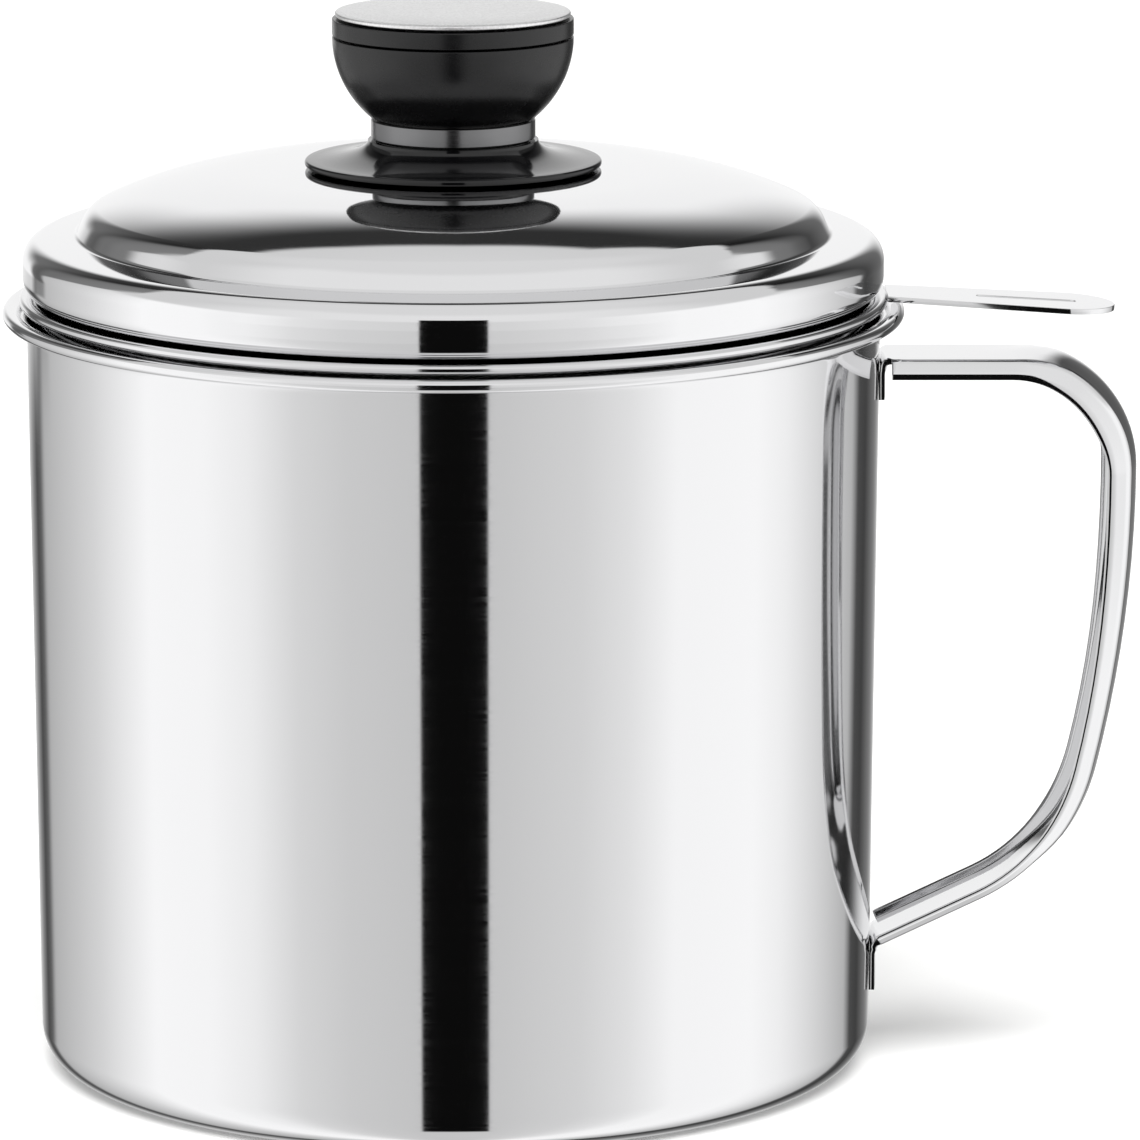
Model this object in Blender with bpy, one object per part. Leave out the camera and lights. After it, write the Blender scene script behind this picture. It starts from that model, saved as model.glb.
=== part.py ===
"""Grease pot with a lift-out strainer and a knobbed lid, in metres, +Z up.

The origin is the centre of the pot's underside, and the handle points along +X.
Every turned piece shares the Z axis. A piece that rests on another takes its height
from the curved surfaces that meet, plus GAP.
"""

import math

import bmesh
import bpy

# Shared fits and facets
GAP = 0.0003
CUT_OVERRUN = 0.002
MERGE_DISTANCE = 0.000001
BODY_STEPS = 48
KNOB_STEPS = 32
SMALL_STEPS = 20
SMOOTH_ANGLE = math.radians(35)

# Pot
POT_SHEET = 0.0006
POT_MOUTH_RADIUS = 0.060
POT_DRAFT = 0.001
POT_CORNER_RADIUS = 0.0057
POT_HEIGHT = 0.109
POT_FLARE_RADIUS = 0.0024
POT_ROLL_RADIUS = 0.0012

# A rolled rim turns out on its flare until this angle, then closes in a tighter roll
ROLL_START = math.radians(96)
ROLL_END = math.radians(-150)

# Strap handle
STRAP_SHEET = 0.0008
STRAP_WIDTH = 0.016
STRAP_FOLD_DEPTH = 0.0028
STRAP_CHAMFER = 0.0005
STRAP_END_RADIUS = 0.0008
STRAP_FOLD_SETBACK = 0.001
HANDLE_REACH = 0.0364
HANDLE_TOP_DROP = 0.00735
HANDLE_TOP_BEND = 0.0193
HANDLE_BELLY_RADIUS = 0.150
HANDLE_BELLY_ANGLE = math.radians(14.8)
HANDLE_LOWER_BEND = 0.029
HANDLE_LOWER_SLOPE = math.radians(25.5)
UPPER_WELD_LENGTH = 0.0055
LOWER_WELD_LENGTH = 0.0085

# Strainer
STRAINER_SHEET = 0.0005
STRAINER_PLAY = 0.0008
STRAINER_DRAFT = 0.0008
STRAINER_FLARE_RADIUS = 0.0015
STRAINER_ROLL_RADIUS = 0.00105
STRAINER_DEPTH = 0.030
STRAINER_CORNER_RADIUS = 0.004
STRAINER_LEDGE = 0.0035
SCREEN_SHEET = 0.0006
SCREEN_HOLE_RADIUS = 0.0013
SCREEN_HOLE_SIDES = 6
SCREEN_RINGS = 5
SCREEN_RING_GROWTH = 6
SCREEN_BORDER = 0.0045

# Strainer's tongue
TAB_SHEET = 0.0008
TAB_LENGTH = 0.032
TAB_ROOT_WIDTH = 0.0105
TAB_TIP_WIDTH = 0.014
TAB_SLOPE = math.radians(3.3)
TAB_RIM_CLEARANCE = 0.0006
TAB_GROOVE_LENGTH = 0.014
TAB_GROOVE_WIDTH = 0.002
TAB_GROOVE_DEPTH = 0.0004
TAB_GROOVE_SETBACK = 0.0055

# Lid
LID_SHEET = 0.0006
LID_INSET = 0.00055
LID_LOW_RADIUS = 0.0027
LID_TOP_RADIUS = 0.0032
LID_BULGE_STRAIGHT = 0.0022
LID_BULGE_WIDTH = 0.00735
LID_BULGE_FALL = 0.0005
LID_SKIRT_PLAY = 0.0012
LID_SKIRT_DEPTH = 0.0056
LID_STEP_SLOPE = math.radians(66)
LID_EDGE_INSET = 0.0032
LID_EDGE_RADIUS = 0.004
LID_SHOULDER_RADIUS = 0.054
LID_FLAT_RADIUS = 0.029
LID_CROWN_RADIUS = 0.9

# Knob and what fastens it
BORE_CLEARANCE = 0.0005
SCREW_RADIUS = 0.00245
SCREW_HEAD_RADIUS = 0.0046
SCREW_HEAD_HEIGHT = 0.0026
SCREW_HEAD_EDGE = 0.0011
SCREW_RECESS_DEPTH = 0.0013
SCREW_RECESS_WIDTH = 0.0009
SCREW_RECESS_SPAN = 0.0046
SCREW_ENGAGEMENT = 0.0085
SCREW_TIP_CHAMFER = 0.0005
FLAT_WASHER_RADIUS = 0.0065
FLAT_WASHER_SHEET = 0.001
SPRING_WASHER_RADIUS = 0.0044
SPRING_WASHER_SHEET = 0.0012
SPRING_WASHER_SPLIT = 0.0006
FOOT_RADIUS = 0.02085
FOOT_LIP = 0.0009
FOOT_SEAT_INSET = 0.003
FOOT_RISE = 0.0028
FOOT_LAND = 0.0004
FOOT_WEB = 0.0014
COLLAR_RADIUS = 0.01154
COLLAR_WALL = 0.0007
COLLAR_HEIGHT = 0.0026
GRIP_RADIUS = 0.01692
GRIP_HEIGHT = 0.0113
SPIGOT_INSET = 0.004
SPIGOT_HEIGHT = 0.0016
RING_HEIGHT = 0.0023
RING_EDGE = 0.0003
CAP_INSET = 0.0004
CAP_SHEET = 0.0006
CAP_CROWN = 0.0004
CAP_EDGE = 0.0006
INSERT_WALL = 0.0012
INSERT_LENGTH = 0.010
INSERT_SETBACK = 0.0005
INSERT_GROOVE_DEPTH = 0.0004
INSERT_GROOVE_WIDTH = 0.0024


def add_material(name, colour, roughness, metallic):
    """A Principled material with a plain colour."""
    material = bpy.data.materials.new(name)
    material.use_nodes = True
    shader = material.node_tree.nodes["Principled BSDF"]
    shader.inputs["Base Color"].default_value = (*colour, 1)
    shader.inputs["Roughness"].default_value = roughness
    shader.inputs["Metallic"].default_value = metallic
    material.diffuse_color = (*colour, 1)
    return material


def add_carrier(name, height, parent=None):
    """An empty on the Z axis that carries the pieces of one moving body."""
    carrier = bpy.data.objects.new(name, None)
    carrier.location = (0, 0, height)
    carrier.parent = parent
    bpy.context.collection.objects.link(carrier)
    return carrier


def add_piece(name, bm, material, parent=None):
    """Turn a bmesh into a smooth-shaded object with its own material."""
    bmesh.ops.remove_doubles(bm, verts=bm.verts, dist=MERGE_DISTANCE)
    bmesh.ops.recalc_face_normals(bm, faces=bm.faces)
    mesh = bpy.data.meshes.new(name)
    bm.to_mesh(mesh)
    bm.free()
    mesh.materials.append(material)
    mesh.shade_smooth()
    mesh.set_sharp_from_angle(angle=SMOOTH_ANGLE)
    piece = bpy.data.objects.new(name, mesh)
    piece.parent = parent
    bpy.context.collection.objects.link(piece)
    return piece


def add_cut(piece, cutter):
    """Cut one object out of another, and keep the cutter as a wire guide."""
    cutter.parent = piece
    cutter.hide_render = True
    cutter.display_type = "WIRE"
    cut = piece.modifiers.new("cut_" + cutter.name, "BOOLEAN")
    cut.operation = "DIFFERENCE"
    cut.solver = "EXACT"
    cut.object = cutter


def arc(centre, radius, start, stop, steps, rise=None):
    """Points on an arc in the radius and height plane, or on an ellipse of that rise."""
    rise = radius if rise is None else rise
    points = []
    for index in range(steps + 1):
        angle = start + (stop - start) * index / steps
        points.append((centre[0] + radius * math.cos(angle), centre[1] + rise * math.sin(angle)))
    return points


def offset_path(path, distance):
    """The same path moved sideways, to its right, with mitred corners."""
    moved = []
    for index, (radius, height) in enumerate(path):
        before = path[max(index - 1, 0)]
        after = path[min(index + 1, len(path) - 1)]
        normals = []
        for start, stop in ((before, path[index]), (path[index], after)):
            run = (stop[0] - start[0], stop[1] - start[1])
            length = math.hypot(*run)
            if length > 0:
                normals.append((run[1] / length, -run[0] / length))
        side = [sum(part) / len(normals) for part in zip(*normals)]
        scale = distance / (side[0] ** 2 + side[1] ** 2)
        moved.append((radius + side[0] * scale, height + side[1] * scale))
    return moved


def turned(outline, steps, turn=math.tau, start=0.0):
    """Turn a closed outline of radius and height about the Z axis."""
    bm = bmesh.new()
    points = [bm.verts.new((r * math.cos(start), r * math.sin(start), z)) for r, z in outline]
    edges = []
    for first, second in zip(points, points[1:] + points[:1]):
        if first.co.xy.length > 0 or second.co.xy.length > 0:
            edges.append(bm.edges.new((first, second)))
    whole = math.isclose(turn, math.tau)
    if not whole:
        bm.faces.new(points)
    swept = bmesh.ops.spin(
        bm,
        geom=points + edges,
        cent=(0, 0, 0),
        axis=(0, 0, 1),
        angle=turn,
        steps=steps,
        use_merge=whole,
    )
    if not whole:
        bm.faces.new([item for item in swept["geom_last"] if isinstance(item, bmesh.types.BMVert)])
    bmesh.ops.remove_doubles(bm, verts=bm.verts, dist=MERGE_DISTANCE)
    return bm


def prism(outline, base, height):
    """An upright prism on a flat outline of x and y."""
    bm = bmesh.new()
    foot = bm.faces.new([bm.verts.new((x, y, base)) for x, y in outline])
    raised = bmesh.ops.extrude_face_region(bm, geom=[foot], use_keep_orig=True)
    tops = [item for item in raised["geom"] if isinstance(item, bmesh.types.BMVert)]
    bmesh.ops.translate(bm, verts=tops, vec=(0, 0, height))
    return bm


def flatten_centre(bm):
    """Make the fan of faces round a vertex on the axis into one flat face."""
    centre = [vert for vert in bm.verts if vert.co.xy.length < MERGE_DISTANCE]
    bmesh.ops.dissolve_verts(bm, verts=centre)


def seat_height(centre, radius, resting_across, resting_radius):
    """Height at which one round edge, that far across, rests on another with a gap."""
    reach = radius + resting_radius + GAP
    return centre[1] + math.sqrt(reach ** 2 - (centre[0] - resting_across) ** 2)


def roll_from_flare(flare_centre, flare_radius, roll_radius):
    """Centre of the tight roll that carries on where the flare stops."""
    reach = flare_radius - roll_radius
    return (
        flare_centre[0] + reach * math.cos(ROLL_START),
        flare_centre[1] + reach * math.sin(ROLL_START),
    )


def rolled_rim(flare_centre, flare_radius, roll_centre, roll_radius):
    """Outline of a rolled rim, from under the roll, over the top and down the flare."""
    return (
        arc(roll_centre, roll_radius, ROLL_END, ROLL_START, 8)
        + arc(flare_centre, flare_radius, ROLL_START, math.pi, 4)[1:]
    )


# Sizes that follow from the driving dimensions

POT_INNER_RADIUS = POT_MOUTH_RADIUS - POT_SHEET
POT_BASE_RADIUS = POT_MOUTH_RADIUS - POT_DRAFT
POT_FLARE_OUTSIDE = POT_FLARE_RADIUS + POT_SHEET
POT_ROLL_LIFT = (POT_FLARE_OUTSIDE - POT_ROLL_RADIUS) * math.sin(ROLL_START)
POT_FLARE_CENTRE = (
    POT_MOUTH_RADIUS + POT_FLARE_RADIUS,
    POT_HEIGHT - POT_ROLL_RADIUS - POT_ROLL_LIFT,
)
POT_ROLL_CENTRE = roll_from_flare(POT_FLARE_CENTRE, POT_FLARE_OUTSIDE, POT_ROLL_RADIUS)

STRAINER_WALL_RADIUS = POT_INNER_RADIUS - STRAINER_PLAY
STRAINER_INNER_RADIUS = STRAINER_WALL_RADIUS - STRAINER_SHEET
STRAINER_FLARE_OUTSIDE = STRAINER_FLARE_RADIUS + STRAINER_SHEET
STRAINER_FLARE_ACROSS = STRAINER_WALL_RADIUS + STRAINER_FLARE_RADIUS
STRAINER_ROLL_OFFSET = roll_from_flare((0, 0), STRAINER_FLARE_OUTSIDE, STRAINER_ROLL_RADIUS)
STRAINER_ROLL_ACROSS = STRAINER_FLARE_ACROSS + STRAINER_ROLL_OFFSET[0]
STRAINER_SEAT = max(
    seat_height(POT_FLARE_CENTRE, POT_FLARE_OUTSIDE, STRAINER_ROLL_ACROSS, STRAINER_ROLL_RADIUS),
    seat_height(POT_ROLL_CENTRE, POT_ROLL_RADIUS, STRAINER_ROLL_ACROSS, STRAINER_ROLL_RADIUS),
)
STRAINER_RIM_RADIUS = STRAINER_ROLL_ACROSS + STRAINER_ROLL_RADIUS

LID_RADIUS = STRAINER_RIM_RADIUS - LID_INSET
LID_LOW_ACROSS = LID_RADIUS - LID_LOW_RADIUS
LID_SKIRT_RADIUS = STRAINER_INNER_RADIUS - LID_SKIRT_PLAY
STRAINER_FLARE_CENTRE = (STRAINER_FLARE_ACROSS, -STRAINER_ROLL_OFFSET[1])
STRAINER_ROLL_CENTRE = (STRAINER_ROLL_ACROSS, 0)
LID_SEAT = max(
    seat_height(STRAINER_FLARE_CENTRE, STRAINER_FLARE_OUTSIDE, LID_LOW_ACROSS, LID_LOW_RADIUS),
    seat_height(STRAINER_ROLL_CENTRE, STRAINER_ROLL_RADIUS, LID_LOW_ACROSS, LID_LOW_RADIUS),
)

BORE_RADIUS = SCREW_RADIUS + BORE_CLEARANCE


def lid_dome_path():
    """Outer surface of the lid from its screw hole out to the crease, crease at height zero."""
    crease = LID_RADIUS - LID_BULGE_WIDTH
    edge_start = crease - LID_EDGE_INSET
    crown_slope = math.asin(LID_FLAT_RADIUS / LID_CROWN_RADIUS)
    shoulder_run = (edge_start - LID_FLAT_RADIUS) / LID_SHOULDER_RADIUS
    shoulder_slope = math.asin(math.sin(crown_slope) + shoulder_run)
    hole_slope = math.asin(BORE_RADIUS / LID_CROWN_RADIUS)
    pieces = [
        (LID_CROWN_RADIUS, hole_slope, crown_slope, 2),
        (LID_SHOULDER_RADIUS, crown_slope, shoulder_slope, 4),
        (LID_EDGE_RADIUS, shoulder_slope, LID_STEP_SLOPE, 2),
    ]
    path = [(BORE_RADIUS, 0)]
    for radius, start, stop, steps in pieces:
        origin = path[-1]
        for index in range(1, steps + 1):
            slope = start + (stop - start) * index / steps
            across = origin[0] + radius * (math.sin(slope) - math.sin(start))
            path.append((across, origin[1] - radius * (math.cos(start) - math.cos(slope))))
    last = path[-1]
    path.append((crease, last[1] - (crease - last[0]) * math.tan(LID_STEP_SLOPE)))
    lift = path[-1][1]
    return [(across, height - lift) for across, height in path]


def lid_path():
    """Outer surface of the whole lid, from the screw hole to the skirt's lower edge."""
    top_centre = (LID_RADIUS - LID_TOP_RADIUS, LID_BULGE_STRAIGHT)
    crease_height = top_centre[1] + LID_TOP_RADIUS - LID_BULGE_FALL
    dome = [(across, height + crease_height) for across, height in lid_dome_path()]
    bulge = arc(top_centre, LID_TOP_RADIUS, math.pi / 2, 0, 4)
    under = arc((LID_LOW_ACROSS, 0), LID_LOW_RADIUS, 0, -math.pi / 2, 4)
    tuck = LID_LOW_ACROSS - LID_SKIRT_RADIUS
    neck = arc((LID_LOW_ACROSS, -LID_LOW_RADIUS - tuck), tuck, math.pi / 2, math.pi, 2)[1:]
    skirt = [(LID_SKIRT_RADIUS, neck[-1][1] - LID_SKIRT_DEPTH)]
    return dome + bulge + under + neck + skirt


LID_PATH = lid_path()
CROWN_HEIGHT = LID_PATH[0][1]


def crown_height_at(across):
    """Height of the lid's outer surface at a radius within the crown or shoulder."""
    for inner, outer in zip(LID_PATH, LID_PATH[1:]):
        if inner[0] <= across <= outer[0]:
            share = (across - inner[0]) / (outer[0] - inner[0])
            return inner[1] + (outer[1] - inner[1]) * share
    return LID_PATH[0][1]


# Heights in the knob, above the lid's seat

FOOT_UNDERSIDE = CROWN_HEIGHT + GAP
FOOT_LIP_UNDERSIDE = crown_height_at(FOOT_RADIUS) + GAP
FOOT_LIP_TOP = FOOT_LIP_UNDERSIDE + FOOT_LIP
FOOT_TOP = FOOT_LIP_TOP + FOOT_RISE
COLLAR_BASE = FOOT_TOP + GAP
GRIP_BASE = COLLAR_BASE + COLLAR_HEIGHT + GAP
GRIP_TOP = GRIP_BASE + GRIP_HEIGHT
STEM_RADIUS = COLLAR_RADIUS - COLLAR_WALL - GAP
STEM_BASE = FOOT_UNDERSIDE + FOOT_WEB + GAP
RING_BASE = GRIP_TOP + GAP
RING_TOP = RING_BASE + RING_HEIGHT
SPIGOT_RADIUS = GRIP_RADIUS - SPIGOT_INSET
CAP_BASE = RING_TOP + GAP
INSERT_BASE = STEM_BASE + INSERT_SETBACK
INSERT_RADIUS = BORE_RADIUS + INSERT_WALL
LID_UNDERSIDE = offset_path(LID_PATH, LID_SHEET)[0][1]
WASHER_FALL = CROWN_HEIGHT - crown_height_at(FLAT_WASHER_RADIUS)
FLAT_WASHER_TOP = LID_UNDERSIDE - WASHER_FALL - GAP
SPRING_WASHER_TOP = FLAT_WASHER_TOP - FLAT_WASHER_SHEET - GAP
SCREW_HEAD_TOP = SPRING_WASHER_TOP - SPRING_WASHER_SHEET - GAP


def make_pot_body(finish):
    """Drawn cup: flat base, rounded corner, drafted wall and rolled rim, one sheet thick."""
    corner = (POT_BASE_RADIUS - POT_CORNER_RADIUS, POT_CORNER_RADIUS)
    outline = [(0, 0)]
    outline += arc(corner, POT_CORNER_RADIUS, -math.pi / 2, 0, 4)
    outline += [(POT_MOUTH_RADIUS, POT_FLARE_CENTRE[1])]
    outline += rolled_rim(
        POT_FLARE_CENTRE,
        POT_FLARE_OUTSIDE,
        POT_ROLL_CENTRE,
        POT_ROLL_RADIUS,
    )
    outline += arc(corner, POT_CORNER_RADIUS - POT_SHEET, 0, -math.pi / 2, 4)
    outline += [(0, POT_SHEET)]
    bm = turned(outline, BODY_STEPS)
    flatten_centre(bm)
    return add_piece("pot_body", bm, finish)


def pot_radius_at(height):
    """Outer radius of the pot's drafted wall."""
    share = (POT_FLARE_CENTRE[1] - height) / (POT_FLARE_CENTRE[1] - POT_CORNER_RADIUS)
    return POT_MOUTH_RADIUS - POT_DRAFT * share


def walk(start, heading, moves):
    """Follow straight and curved moves in the XZ plane, and list each station passed.

    A move is (length, turn, steps): a right-hand turn in radians over a length of path,
    which is straight when the turn is zero. A station is (x, z, heading).
    """
    stations = [(*start, heading)]
    for length, turn, steps in moves:
        x, z, heading = stations[-1]
        for index in range(1, steps + 1):
            share = index / steps
            if turn == 0:
                travel = length * share
                stations.append((x + travel * math.cos(heading), z + travel * math.sin(heading), heading))
                continue
            radius = length / turn
            now = heading - turn * share
            stations.append((
                x + radius * (math.sin(heading) - math.sin(now)),
                z + radius * (math.cos(now) - math.cos(heading)),
                now,
            ))
    return stations


def strap_route():
    """Stations along the strap's outer face, and where its folded edges start and stop."""
    top = POT_HEIGHT - HANDLE_TOP_DROP
    wall = pot_radius_at(top) + GAP
    end_bend = STRAP_END_RADIUS + STRAP_SHEET
    reach = POT_MOUTH_RADIUS + HANDLE_REACH
    quarter = math.pi / 2
    lower_turn = quarter - HANDLE_LOWER_SLOPE - HANDLE_BELLY_ANGLE
    weld_tab = [
        (UPPER_WELD_LENGTH, 0, 1),
        (end_bend * quarter, quarter, 4),
        (STRAP_FOLD_SETBACK, 0, 1),
    ]
    loop = [
        (reach - HANDLE_TOP_BEND - wall - end_bend - STRAP_FOLD_SETBACK, 0, 1),
        (HANDLE_TOP_BEND * quarter, quarter, 9),
        (HANDLE_BELLY_RADIUS * HANDLE_BELLY_ANGLE, HANDLE_BELLY_ANGLE, 4),
        (HANDLE_LOWER_BEND * lower_turn, lower_turn, 6),
    ]
    stations = walk((wall, top - end_bend - UPPER_WELD_LENGTH), quarter, weld_tab)
    fold_start = len(stations) - 1
    stations += walk(stations[-1][:2], stations[-1][2], loop)[1:]
    end_turn = HANDLE_LOWER_SLOPE - quarter
    slope_end = stations[-1]
    bend_across = STRAP_END_RADIUS * (1 - math.cos(end_turn))
    foot_height = slope_end[1] - (slope_end[0] - wall) * math.tan(HANDLE_LOWER_SLOPE)
    foot = pot_radius_at(foot_height) + GAP
    slope_length = (slope_end[0] - foot - STRAP_SHEET - bend_across) / math.cos(HANDLE_LOWER_SLOPE)
    fold_stop = len(stations)
    lower = [
        (slope_length - STRAP_FOLD_SETBACK, 0, 1),
        (STRAP_FOLD_SETBACK, 0, 1),
        (-STRAP_END_RADIUS * end_turn, end_turn, 4),
        (LOWER_WELD_LENGTH, 0, 1),
    ]
    stations += walk(slope_end[:2], slope_end[2], lower)[1:]
    return stations, fold_start, fold_stop


def make_pot_handle(finish):
    """Strap with folded edges: a bent web, then its edge columns drawn out as folds."""
    stations, fold_start, fold_stop = strap_route()
    half = STRAP_WIDTH / 2
    inner = [-half, STRAP_SHEET - half, 0, half - STRAP_SHEET, half]
    outer = [
        STRAP_CHAMFER - half,
        STRAP_SHEET + STRAP_CHAMFER - half,
        0,
        half - STRAP_SHEET - STRAP_CHAMFER,
        half - STRAP_CHAMFER,
    ]
    bm = bmesh.new()
    rings = []
    for x, z, heading in stations:
        inward = (math.sin(heading), -math.cos(heading))
        wall = pot_radius_at(z)
        upright = math.isclose(abs(math.sin(heading)), 1) and x < wall + STRAP_FOLD_DEPTH
        ring = []
        for across, depth in [(y, 0) for y in outer] + [(y, STRAP_SHEET) for y in reversed(inner)]:
            wrap = wall - math.sqrt(wall ** 2 - across ** 2) if upright else 0
            ring.append(bm.verts.new((x + inward[0] * depth - wrap, across, z + inward[1] * depth)))
        rings.append(ring)
    columns = len(inner)
    edge_faces = []
    for index, (here, there) in enumerate(zip(rings, rings[1:])):
        for side in range(2 * columns):
            following = (side + 1) % (2 * columns)
            face = bm.faces.new((here[side], here[following], there[following], there[side]))
            if side in (columns, 2 * columns - 2) and fold_start <= index < fold_stop:
                edge_faces.append(face)
    bm.faces.new(rings[0])
    bm.faces.new(list(reversed(rings[-1])))
    bmesh.ops.recalc_face_normals(bm, faces=bm.faces)
    directions = {}
    for (x, z, heading), ring in zip(stations, rings):
        for vert in ring:
            directions[tuple(vert.co)] = (math.sin(heading), -math.cos(heading))
    drawn = bmesh.ops.extrude_face_region(bm, geom=edge_faces)
    bmesh.ops.delete(bm, geom=[face for face in edge_faces if face.is_valid], context="FACES")
    for vert in [item for item in drawn["geom"] if isinstance(item, bmesh.types.BMVert)]:
        direction = directions[tuple(vert.co)]
        vert.co.x += direction[0] * (STRAP_FOLD_DEPTH - STRAP_SHEET)
        vert.co.z += direction[1] * (STRAP_FOLD_DEPTH - STRAP_SHEET)
    return add_piece("pot_handle", bm, finish)


def make_strainer_bowl(finish, carrier):
    """Drawn strainer with a rolled rim and an open floor, whose ledge carries the screen."""
    base_radius = STRAINER_WALL_RADIUS - STRAINER_DRAFT
    corner = (base_radius - STRAINER_CORNER_RADIUS, STRAINER_CORNER_RADIUS - STRAINER_DEPTH)
    ledge = corner[0] - STRAINER_LEDGE
    outline = [(ledge, -STRAINER_DEPTH)]
    outline += arc(corner, STRAINER_CORNER_RADIUS, -math.pi / 2, 0, 3)
    outline += [(STRAINER_WALL_RADIUS, STRAINER_FLARE_CENTRE[1])]
    outline += rolled_rim(
        STRAINER_FLARE_CENTRE,
        STRAINER_FLARE_OUTSIDE,
        STRAINER_ROLL_CENTRE,
        STRAINER_ROLL_RADIUS,
    )
    outline += arc(corner, STRAINER_CORNER_RADIUS - STRAINER_SHEET, 0, -math.pi / 2, 3)
    outline += [(ledge, STRAINER_SHEET - STRAINER_DEPTH)]
    return add_piece("strainer_bowl", turned(outline, BODY_STEPS), finish, carrier)


def make_strainer_screen(finish, carrier):
    """Flat disc on the ledge, punched with rings that each hold more holes than the last."""
    radius = STRAINER_WALL_RADIUS - STRAINER_DRAFT - STRAINER_CORNER_RADIUS - GAP
    base = STRAINER_SHEET - STRAINER_DEPTH + GAP
    top = base + SCREEN_SHEET
    bm = turned([(0, base), (radius, base), (radius, top), (0, top)], BODY_STEPS)
    flatten_centre(bm)
    screen = add_piece("strainer_screen", bm, finish, carrier)
    pitch = (radius - SCREEN_BORDER) / (SCREEN_RINGS + 1 / 2)
    holes = bmesh.new()
    for ring in range(SCREEN_RINGS + 1):
        count = max(SCREEN_RING_GROWTH * ring, 1)
        for index in range(count):
            angle = math.tau * index / count
            punch = bmesh.ops.create_cone(
                holes,
                cap_ends=True,
                segments=SCREEN_HOLE_SIDES,
                radius1=SCREEN_HOLE_RADIUS,
                radius2=SCREEN_HOLE_RADIUS,
                depth=SCREEN_SHEET + 2 * CUT_OVERRUN,
            )
            across = pitch * ring
            place = (across * math.cos(angle), across * math.sin(angle), (base + top) / 2)
            bmesh.ops.translate(holes, verts=punch["verts"], vec=place)
    add_cut(screen, add_piece("screen_punch", holes, finish))
    return screen


def make_strainer_tab(finish, carrier):
    """Tongue: root curved to the rim, widening to a round tip, tilted down, with a groove."""
    root = STRAINER_RIM_RADIUS + GAP
    tip_radius = TAB_TIP_WIDTH / 2
    root_half = TAB_ROOT_WIDTH / 2
    end = STRAINER_RIM_RADIUS + TAB_LENGTH - tip_radius
    root_angle = math.asin(root_half / root)
    plan = arc((0, 0), root, root_angle, -root_angle, 4)
    plan += arc((end, 0), tip_radius, -math.pi / 2, math.pi / 2, 10)
    bm = prism(plan, 0, TAB_SHEET)
    root_height = POT_HEIGHT + TAB_RIM_CLEARANCE - STRAINER_SEAT
    for vert in bm.verts:
        vert.co.z += root_height - (vert.co.x - root) * math.tan(TAB_SLOPE)
    tab = add_piece("strainer_tab", bm, finish, carrier)
    groove_end = TAB_GROOVE_WIDTH / 2
    groove_stop = end - TAB_GROOVE_SETBACK + tip_radius
    groove_start = groove_stop - TAB_GROOVE_LENGTH
    outline = arc((groove_stop - groove_end, 0), groove_end, -math.pi / 2, math.pi / 2, 6)
    outline += arc((groove_start + groove_end, 0), groove_end, math.pi / 2, math.pi * 3 / 2, 6)
    cutter = prism(outline, TAB_SHEET - TAB_GROOVE_DEPTH, TAB_GROOVE_DEPTH + CUT_OVERRUN)
    for vert in cutter.verts:
        vert.co.z += root_height - (vert.co.x - root) * math.tan(TAB_SLOPE)
    add_cut(tab, add_piece("tab_groove_cutter", cutter, finish))
    return tab


def make_lid_shell(finish, carrier):
    """Pressed lid of one sheet: crown, step, bulged rim and a skirt that enters the strainer."""
    inside = offset_path(LID_PATH, LID_SHEET)
    inside[0] = (BORE_RADIUS, inside[0][1])
    inside[-1] = (inside[-1][0], LID_PATH[-1][1])
    outline = LID_PATH + list(reversed(inside))
    return add_piece("lid_shell", turned(outline, BODY_STEPS), finish, carrier)


def make_knob_foot(finish, carrier):
    """Flared foot with a recess that takes the grip's stem, and an edge that meets the crown."""
    neck = COLLAR_RADIUS + FOOT_LAND
    outline = [(BORE_RADIUS, FOOT_UNDERSIDE), (FOOT_RADIUS - FOOT_SEAT_INSET, FOOT_UNDERSIDE)]
    outline += [(FOOT_RADIUS - FOOT_LIP, FOOT_LIP_UNDERSIDE), (FOOT_RADIUS, FOOT_LIP_UNDERSIDE)]
    outline += arc((FOOT_RADIUS, FOOT_TOP), FOOT_RADIUS - neck, -math.pi / 2, -math.pi, 6, FOOT_RISE)
    outline += [(STEM_RADIUS + GAP, FOOT_TOP), (STEM_RADIUS + GAP, FOOT_UNDERSIDE + FOOT_WEB)]
    outline += [(BORE_RADIUS, FOOT_UNDERSIDE + FOOT_WEB)]
    return add_piece("knob_flange", turned(outline, KNOB_STEPS), finish, carrier)


def make_knob_collar(finish, carrier):
    """Plain metal ring round the grip's stem."""
    inner = COLLAR_RADIUS - COLLAR_WALL
    top = COLLAR_BASE + COLLAR_HEIGHT
    outline = [(inner, COLLAR_BASE), (COLLAR_RADIUS, COLLAR_BASE), (COLLAR_RADIUS, top), (inner, top)]
    return add_piece("knob_collar", turned(outline, KNOB_STEPS), finish, carrier)


def make_knob_grip(finish, carrier):
    """Bowl-shaped grip with a stem below, a spigot above and a blind bore for the insert."""
    lowest = math.acos(COLLAR_RADIUS / GRIP_RADIUS)
    rise = GRIP_HEIGHT / math.sin(lowest)
    bore = INSERT_RADIUS + GAP
    bore_top = INSERT_BASE + INSERT_LENGTH + GAP
    outline = [(0, bore_top), (bore, bore_top), (bore, STEM_BASE), (STEM_RADIUS, STEM_BASE)]
    outline += [(STEM_RADIUS, GRIP_BASE)]
    outline += arc((0, GRIP_TOP), GRIP_RADIUS, -lowest, 0, 7, rise)
    spigot_top = GRIP_TOP + SPIGOT_HEIGHT
    outline += [(SPIGOT_RADIUS, GRIP_TOP), (SPIGOT_RADIUS, spigot_top), (0, spigot_top)]
    bm = turned(outline, KNOB_STEPS)
    flatten_centre(bm)
    return add_piece("knob_grip", bm, finish, carrier)


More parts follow.
